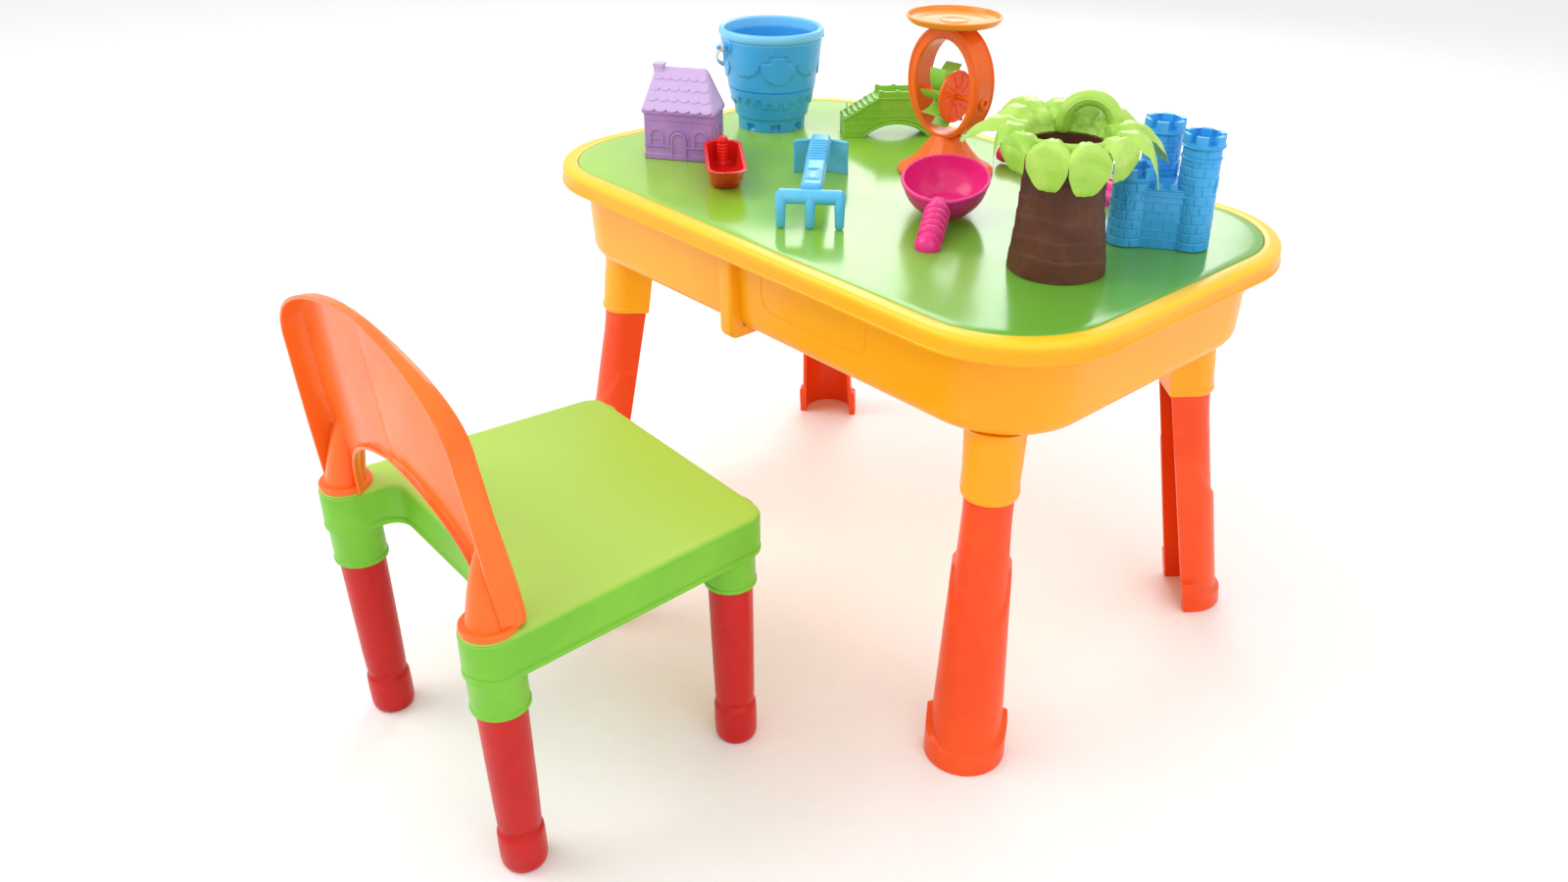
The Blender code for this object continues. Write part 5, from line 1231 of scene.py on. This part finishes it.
def build_ladle():
    ladle = Piece()
    radius, depth, wall = LADLE_RADIUS, LADLE_DEPTH, LADLE_WALL
    start = radians(37)
    foot_z = -depth * cos(start)
    foot_r = radius * sin(start)
    curve = [start + (pi / 2 - start) * i / 18 for i in range(19)]
    profile = [(0, foot_z + 0.0012), (foot_r - 0.0030, foot_z + 0.0012), (foot_r - 0.0016, foot_z),
               (foot_r, foot_z)]
    profile += [(radius * sin(t), -depth * cos(t)) for t in curve[1:-1]]
    profile += [(radius + 0.0003, -0.0030), (radius + 0.0014, -0.0022), (radius + 0.0016, -0.0008),
                (radius + 0.0008, 0.0004),
                (radius - wall + 0.0004, 0.0004), (radius - wall, -0.0008)]
    profile += [((radius - wall) * sin(t), -(depth - wall) * cos(t)) for t in reversed(curve[:-1])]
    profile += [((radius - wall) * sin(start) - 0.004, -(depth - wall) * cos(start) - 0.0008),
                (0, -(depth - wall) * cos(start) - 0.0008)]
    tilt = Matrix.Rotation(LADLE_TILT, 4, "Y")
    bowl = lathe(profile, 96)
    low = min((tilt @ vertex.co).z for vertex in bowl.verts)
    lie = Matrix.Translation((0, 0, -low)) @ tilt
    ladle.add(bowl, lie)
    grip = LADLE_HANDLE_RADIUS
    # handle: a neck over the rim, five thick ribs, then a ball end
    profile = [(0, 0.0), (grip * 0.78, 0.0), (grip * 0.80, 0.0060)]
    for i in range(5):
        x = 0.0085 + 0.0092 * i
        for k in range(7):
            turn = pi * k / 6
            profile.append((grip * 0.80 + grip * 0.20 * sin(turn), x + 0.0080 * (1 - cos(turn)) / 2))
        profile.append((grip * 0.78, x + 0.0086))
    for k in range(4):
        profile.append((grip * (0.80 + 0.20 * sin(pi * k / 9)), 0.0560 + 0.0020 * k))
    for k in range(6):
        turn = k / 5 * pi / 2
        profile.append((grip * cos(turn), 0.0620 + grip * sin(turn)))
    handle = lathe(profile, 40)
    cut = Matrix.Translation((radius - 0.003, 0, -grip * 0.55)) @ Matrix.Rotation(radians(3), 4, "Y")
    ladle.add(handle, lie, cut, Matrix.Rotation(pi / 2, 4, "Y"))
    ladle.done("ladle_shell", "ladle", ["ladle"], "magenta", on_lid(LADLE_PLACE, LADLE_TURN))


# the crown's leaves: azimuth in degrees, how far out and how high the tip is, the half-width, and how far
# the leaf arches out before it hangs
LEAVES = (
    (-163, 0.100, 0.100, 0.0185, 0.000), (-140, 0.062, 0.087, 0.0195, 0.010),
          (-106, 0.050, 0.093, 0.0190, 0.014),
    (-70, 0.049, 0.084, 0.0195, 0.014), (-34, 0.050, 0.082, 0.0195, 0.014),
          (2, 0.052, 0.091, 0.0195, 0.014),
    (36, 0.080, 0.078, 0.0190, 0.008), (62, 0.097, 0.090, 0.0185, 0.003), (88, 0.092, 0.110, 0.0180, 0.0),
    (112, 0.082, 0.119, 0.0170, 0.0), (136, 0.088, 0.120, 0.0175, 0.0), (160, 0.103, 0.119, 0.0180, 0.0),
    (-179, 0.084, 0.114, 0.0175, 0.0),
)


def build_palm():
    place = on_lid(PALM_PLACE, 0.0)
    base, top, height, wall = TRUNK_BASE, TRUNK_TOP, TRUNK_HEIGHT, TRUNK_WALL
    bands = (0.0, 0.0190, 0.0355, 0.0530, 0.0690, 0.0860, 0.1010, height)

    def bark(turn, radius, z):
        if radius < top - wall * 0.5 and z > 0.004:
            return radius
        wobble = 0.0006 * sin(3 * turn + z * 40) + 0.0004 * sin(7 * turn - z * 90)
        here = z + 0.0022 * sin(2 * turn + 1.0) + 0.0010 * sin(5 * turn)
        for low, high in zip(bands, bands[1:]):
            if low <= here < high:
                share = (here - low) / (high - low)
                lap = 0.0007 * (share - 0.35) - 0.0011 * ease((share - 0.95) / 0.05)
                crack = 0.0008 * ease((sin(17 * turn + low * 700) - 0.86) / 0.1) * ease(1 - abs(share - 0.5)
                                                                                        * 2.4)
                return radius - 0.0008 + wobble * 0.7 + lap - crack
        return radius - 0.0010 + wobble * 0.5

    trunk = Piece()
    profile = [(0, 0.0), (base - 0.0030, 0.0)]
    for i in range(81):
        z = height * i / 80
        swell = (base + top) / 2 - 0.0015
        radius = base + (swell - base) * z / (height / 2)
        if z >= height / 2:
            radius = swell + (top - swell) * (z * 2 / height - 1)
        profile.append((radius, max(z, 0.0006)))
    profile += [(top - wall, height), (top - wall, height * 0.9),
                ((base + top) / 2 - 0.0045 - wall, height * 0.5),
                (base - wall - 0.003, 0.0050), (base - wall - 0.006, 0.0030), (0, 0.0030)]
    outside = {round(z, 6) for r, z in profile[2:83]}

    def skin(turn, radius, z):
        on_skin = radius > top - 0.0001 and round(z, 6) in outside
        return bark(turn, radius, z) if on_skin else radius

    trunk.add(lathe(profile, 144, skin))
    trunk.done("palm_trunk_bark", "palm", ["palm_trunk"], "brown", place, 30)

    crown = Piece()
    rim = height + 0.0100
    # funnel round the mouth, where the leaves meet
    crown.add(lathe([(top + 0.0006, height - 0.0100), (top + 0.0040, height - 0.0110),
                     (top + 0.0062, height - 0.0040),
                     (top + 0.0080, height + 0.0040), (top + 0.0092, rim), (top + 0.0070, rim + 0.0022),
                     (top + 0.0040, rim + 0.0012), (top + 0.0010, height + 0.0040),
                     (top - 0.0006, height + 0.0012),
                     (top + 0.0006, height + GAP)],
                    96, lambda t, r, z: r + (0.0004 * sin(26 * t) if z > height else 0), loop=True))
    for number, (azimuth, out, tip_z, half, arch_out) in enumerate(LEAVES):
        turn = radians(azimuth)
        root_r, root_z = top + 0.0015, rim - 0.0020 + 0.0010 * (number % 2)
        rise = 0.0115 if tip_z > 0.105 else 0.0070
        rings = []
        steps = 22
        for i in range(steps + 1):
            s = i / steps
            along = root_r + (out - root_r) * s + arch_out * sin(pi * s)
            z = root_z + (tip_z - root_z) * s ** 2.1
            z += rise * sin(pi * min(1.0, s * 1.05)) + 0.0006 * sin(s * 26)
            width = half * (0.50 + 0.50 * sin(pi * min(1.0, s * 0.80 + 0.02)) ** 0.8)
            width = max(width * sqrt(max(0.0, 1 - s ** 5)), 0.0014) * (1 + 0.018 * sin(s * 19))
            thick = 0.0046 * sqrt(max(0.05, 1 - s ** 6))
            ring = []
            for k in range(40):
                angle = 2 * pi * k / 40
                across = cos(angle)
                dome = -0.34 * width * abs(across) ** 2
                on_top = 1 if sin(angle) > 0 else 0
                crease = -0.0016 * ease(1 - abs(across) * 4.5) * on_top
                vein = 0.0006 * cos(abs(across) * 15) * (1 - abs(across)) * sin(pi * s) * on_top
                lift = thick * sin(angle) * (0.75 + 0.25 * cos(across * pi)) + dome + crease + vein
                ring.append((along * cos(turn) - across * width * sin(turn),
                             along * sin(turn) + across * width * cos(turn), z + lift))
            rings.append(ring)
        crown.add(loft(rings))
    # loop handle: a flat band with a rolled edge
    half, rise = LOOP
    arch = [((half - 0.002) * cos(pi * i / 28), 0.0,
             height + 0.002 + (rise - 0.003) * sin(pi * i / 28) ** 0.8)
            for i in range(29)]
    at = moved((top + 0.002) * cos(LOOP_SIDE), (top + 0.002) * sin(LOOP_SIDE))
    at = at @ Matrix.Rotation(LOOP_TURN, 4, "Z")
    crown.add(tube(arch, 0.0072, 24, flat=1.15, up=(1, 0, 0)), at)
    for side in (-1, 1):
        line = [(x, side * 0.0074, z) for x, _, z in arch]
        crown.add(tube(line, 0.0014, 8), at)
    crown.done("palm_leaves", "palm", ["palm_crown"], "leaf", place, 75)


def build_shovel():
    shovel = Piece()
    half, blade, arch, wall = SHOVEL_LENGTH / 2, SHOVEL_BLADE, SHOVEL_ARCH, SHOVEL_WALL
    rings = []
    for x, inset in ((half - blade, 0.0), (half - blade + 0.001, 0.0), (half - 0.030, 0.0),
                     (half - 0.012, 0.0004),
                     (half - 0.0010, 0.0004), (half, 0.0008)):
        section = arc((0, 0), arch - inset, 0, pi, 28) + arc((0, 0), arch - wall, pi, 0, 28)
        rings.append([(x, y, max(0.0, z)) for y, z in section])
    shovel.add(loft(rings))
    back = [(y, z) for y, z in arc((0, 0), arch - 0.0004, 0, pi, 28)]
    shovel.add(slab(back, 0, wall, 0.0005), Matrix.Translation((half - blade, 0, 0)),
               Matrix.Rotation(pi / 2, 4, "Z"),
               Matrix.Rotation(pi / 2, 4, "X"))
    for turn in (pi * 0.28, pi * 0.5, pi * 0.72):
        path = [(x, arch * cos(turn), arch * sin(turn)) for x in (half - blade + 0.006, half - 0.010)]
        shovel.add(tube(path, 0.0010, 8))
    profile = [(0, -half), (0.0060, -half), (0.0082, -half + 0.0016), (0.0088, -half + 0.0070),
               (0.0082, -half + 0.0124),
               (0.0068, -half + 0.0150)]
    for i in range(9):
        x = -half + 0.0190 + 0.0068 * i
        profile += [(0.0066, x), (0.0072, x + 0.0012), (0.0072, x + 0.0034), (0.0066, x + 0.0046)]
    profile += [(0.0066, half - blade - 0.004), (0.0092, half - blade + 0.0005), (0, half - blade + 0.0010)]
    shovel.add(lathe(profile, 32), Matrix.Translation((0, 0, 0.0100)), Matrix.Rotation(pi / 2, 4, "Y"))
    shovel.done("shovel_shell", "shovel", ["shovel"], "magenta",
                on_lid(SHOVEL_PLACE, SHOVEL_TURN))


def build_castle():
    castle = Piece()
    towers = (((0.0250, -0.0095), TOWER_TALL), ((-0.0330, -0.0095), TOWER_LOW),
              ((-0.0080, 0.0320), TOWER_TALL))
    radius = TOWER_RADIUS
    for centre, height in towers:
        course, crown_z = 0.0088, height - 0.0130

        def stone(turn, reach, z):
            if reach < radius * 0.80:
                return reach
            if z > crown_z + 0.0015:
                if z > height - 0.0080 and (turn * 6 / (2 * pi) + 0.36) % 1.0 < 0.40:
                    return min(reach, radius - 0.0042)
                return reach + 0.0009
            if height > 0.1 and abs(z - 0.0860) < 0.0012:
                return reach + 0.0008
            row = int(z / course)
            line = min(z - row * course, (row + 1) * course - z)
            joints = 9
            phase = ((turn * joints / (2 * pi)) + 0.5 * (row % 2)) % 1.0
            joint = min(phase, 1 - phase) * 2 * pi * radius / joints
            groove = max(1 - ease((line - 0.0002) / 0.0008), 1 - ease((joint - 0.0002) / 0.0009))
            return reach - 0.0008 * groove

        profile = [(radius - 0.0025, crown_z - 0.004), (radius - 0.0025, 0.0005), (radius - 0.0020, 0),
                   (radius - 0.0006, 0),
                   (radius, 0.0006)]
        z = 0.0012
        while z < crown_z:
            profile.append((radius - 0.0010 * z / height, z))
            z += 0.0008
        profile += [(radius - 0.0002, crown_z + 0.0003), (radius + 0.0008, crown_z + 0.0010),
                    (radius + 0.0008, crown_z + 0.0026),
                    (radius - 0.0004, crown_z + 0.0032)]
        z = crown_z + 0.0038
        while z < height - 0.0004:
            profile.append((radius - 0.0003, z))
            z += 0.0009
        profile += [(radius - 0.0006, height), (radius - 0.0034, height),
                    (radius - 0.0042, height - 0.0006),
                    (radius - 0.0042, height - 0.0080), (0, height - 0.0080)]
        castle.add(lathe(profile, 108, stone), moved(*centre))
        # arrow slits
        for turn in (radians(-100), radians(10), radians(100), radians(-30)):
            slit = block((radius - 0.0012, -0.0012, height * 0.52),
                         (radius + 0.0004, 0.0012, height * 0.52 + 0.0120), 0.0005, 2)
            castle.add(slit, moved(*centre), Matrix.Rotation(turn, 4, "Z"))
    top = CASTLE_WALL_HEIGHT
    low, high = (-0.0330, -0.0230), (0.0250, 0.0240)
    wall = 0.0025
    for box_low, box_high in (((low[0], low[1], 0), (high[0], low[1] + wall, top - 0.006)),
                              ((low[0], high[1] - wall, 0), (high[0], high[1], top - 0.006)),
                              ((low[0], low[1], 0), (low[0] + wall, high[1], top - 0.006)),
                              ((high[0] - wall, low[1], 0), (high[0], high[1], top - 0.006)),
                              ((low[0], low[1], top - 0.008), (high[0], high[1], top - 0.0055))):
        castle.add(block(box_low, box_high, 0.0006, 2))
    for k in range(4):
        x = low[0] + 0.0100 + 0.0132 * k
        for y in (low[1], high[1] - 0.0032):
            castle.add(block((x - 0.0036, y - 0.0004, top - 0.0070), (x + 0.0036, y + 0.0036, top), 0.0007,
                             2))
    for y in (low[1], high[1]):
        out = -1 if y < 0 else 1
        castle.add(block((low[0], y - 0.0008 * (1 - out) / 2 - 0.0004, top - 0.0120),
                         (high[0], y + 0.0008 * (1 + out) / 2 + 0.0004, top - 0.0095),
                         0.0004, 2))
        for row in range(5):
            z = 0.0088 * (row + 1)
            castle.add(tube([(low[0] + 0.012, y, z), (high[0] - 0.010, y, z)], 0.0006, 8))
            for k in range(-3, 3):
                x = k * 0.0120 + (row % 2) * 0.0060
                castle.add(tube([(x, y, z - 0.0088), (x, y, z)], 0.0005, 8))
    castle.done("castle_moulding", "castle", ["castle_mould"], "blue",
                on_lid(CASTLE_PLACE, CASTLE_TURN), 32)


build_tub()
build_lid()
for corner, signs in CORNERS.items():
    build_table_leg(corner, signs)
build_seat()
build_backrest()
for corner, (under_seat, on_floor) in CHAIR_CORNERS.items():
    build_chair_leg(corner, under_seat, on_floor)
build_house()
build_bucket()
build_scoop()
build_rake()
build_bridge()
build_mill()
build_ladle()
build_palm()
build_shovel()
build_castle()


# ---------------------------------------------------------------- studio

def studio():
    floor = Piece()
    size = 14.0
    ring = [(-size, -size), (size, -size), (size, size), (-size, size)]
    floor.bm.faces.new([floor.bm.verts.new((x, y, 0.0)) for x, y in ring])
    mesh = bpy.data.meshes.new("floor")
    floor.bm.to_mesh(mesh)
    floor.bm.free()
    made = bpy.data.objects.new("floor", mesh)
    bpy.context.scene.collection.objects.link(made)
    paper = bpy.data.materials.new("paper")
    paper.use_nodes = True
    shader = paper.node_tree.nodes["Principled BSDF"]
    shader.inputs["Roughness"].default_value = 0.9
    shader.inputs["Specular IOR Level"].default_value = 0.1
    place = paper.node_tree.nodes.new("ShaderNodeTexCoord")
    fibre = linked(paper.node_tree, "ShaderNodeTexNoise", Scale=60.0, Detail=4.0)
    ramp = paper.node_tree.nodes.new("ShaderNodeValToRGB")
    ramp.color_ramp.elements[0].color = (0.90, 0.90, 0.90, 1)
    ramp.color_ramp.elements[1].color = (0.94, 0.94, 0.94, 1)
    paper.node_tree.links.new(place.outputs["Object"], fibre.inputs["Vector"])
    paper.node_tree.links.new(fibre.outputs["Fac"], ramp.inputs["Fac"])
    paper.node_tree.links.new(ramp.outputs["Color"], shader.inputs["Base Color"])
    mesh.materials.append(paper)

    world = bpy.data.worlds.new("studio")
    world.use_nodes = True
    world.node_tree.nodes["Background"].inputs["Color"].default_value = (1.0, 1.0, 1.0, 1)
    world.node_tree.nodes["Background"].inputs["Strength"].default_value = 0.92
    bpy.context.scene.world = world
    bpy.context.scene.view_settings.view_transform = "Standard"

    for name, place, size, power in (("key", (-1.3, -1.6, 2.4), 1.8, 34.0),
                                     ("fill", (2.2, -0.6, 1.8), 2.0, 14.0),
                                     ("back", (-1.4, 2.0, 1.9), 1.6, 26.0)):
        light = bpy.data.lights.new(name, "AREA")
        light.shape = "SQUARE"
        light.size = size
        light.energy = power
        lamp = bpy.data.objects.new(name, light)
        lamp.location = place
        aim = Vector((0, 0, 0.3)) - Vector(place)
        lamp.rotation_euler = aim.to_track_quat("-Z", "Y").to_euler()
        bpy.context.scene.collection.objects.link(lamp)


def camera():
    """The photograph's viewpoint, from above the chair's right-hand side."""
    yaw, pitch, roll = radians(45.7923), radians(28.8458), radians(1.296)
    spot = Vector((0.88145, -0.93919, 0.87174)) + MIDDLE
    forward = Vector((-sin(yaw) * cos(pitch), cos(yaw) * cos(pitch), -sin(pitch)))
    level = Vector((cos(yaw), sin(yaw), 0))
    above = level.cross(forward)
    right = cos(roll) * level + sin(roll) * above
    up = -sin(roll) * level + cos(roll) * above
    data = bpy.data.cameras.new("view")
    data.sensor_width = 36.0
    data.lens = 29.78
    data.shift_x = -0.0335
    data.shift_y = -0.0102
    data.clip_start = 0.01
    made = bpy.data.objects.new("view", data)
    made.matrix_world = Matrix((
        (right.x, up.x, -forward.x, spot.x), (right.y, up.y, -forward.y, spot.y),
        (right.z, up.z, -forward.z, spot.z), (0, 0, 0, 1)))
    bpy.context.scene.collection.objects.link(made)
    bpy.context.scene.camera = made


studio()
camera()
bpy.context.view_layer.update()
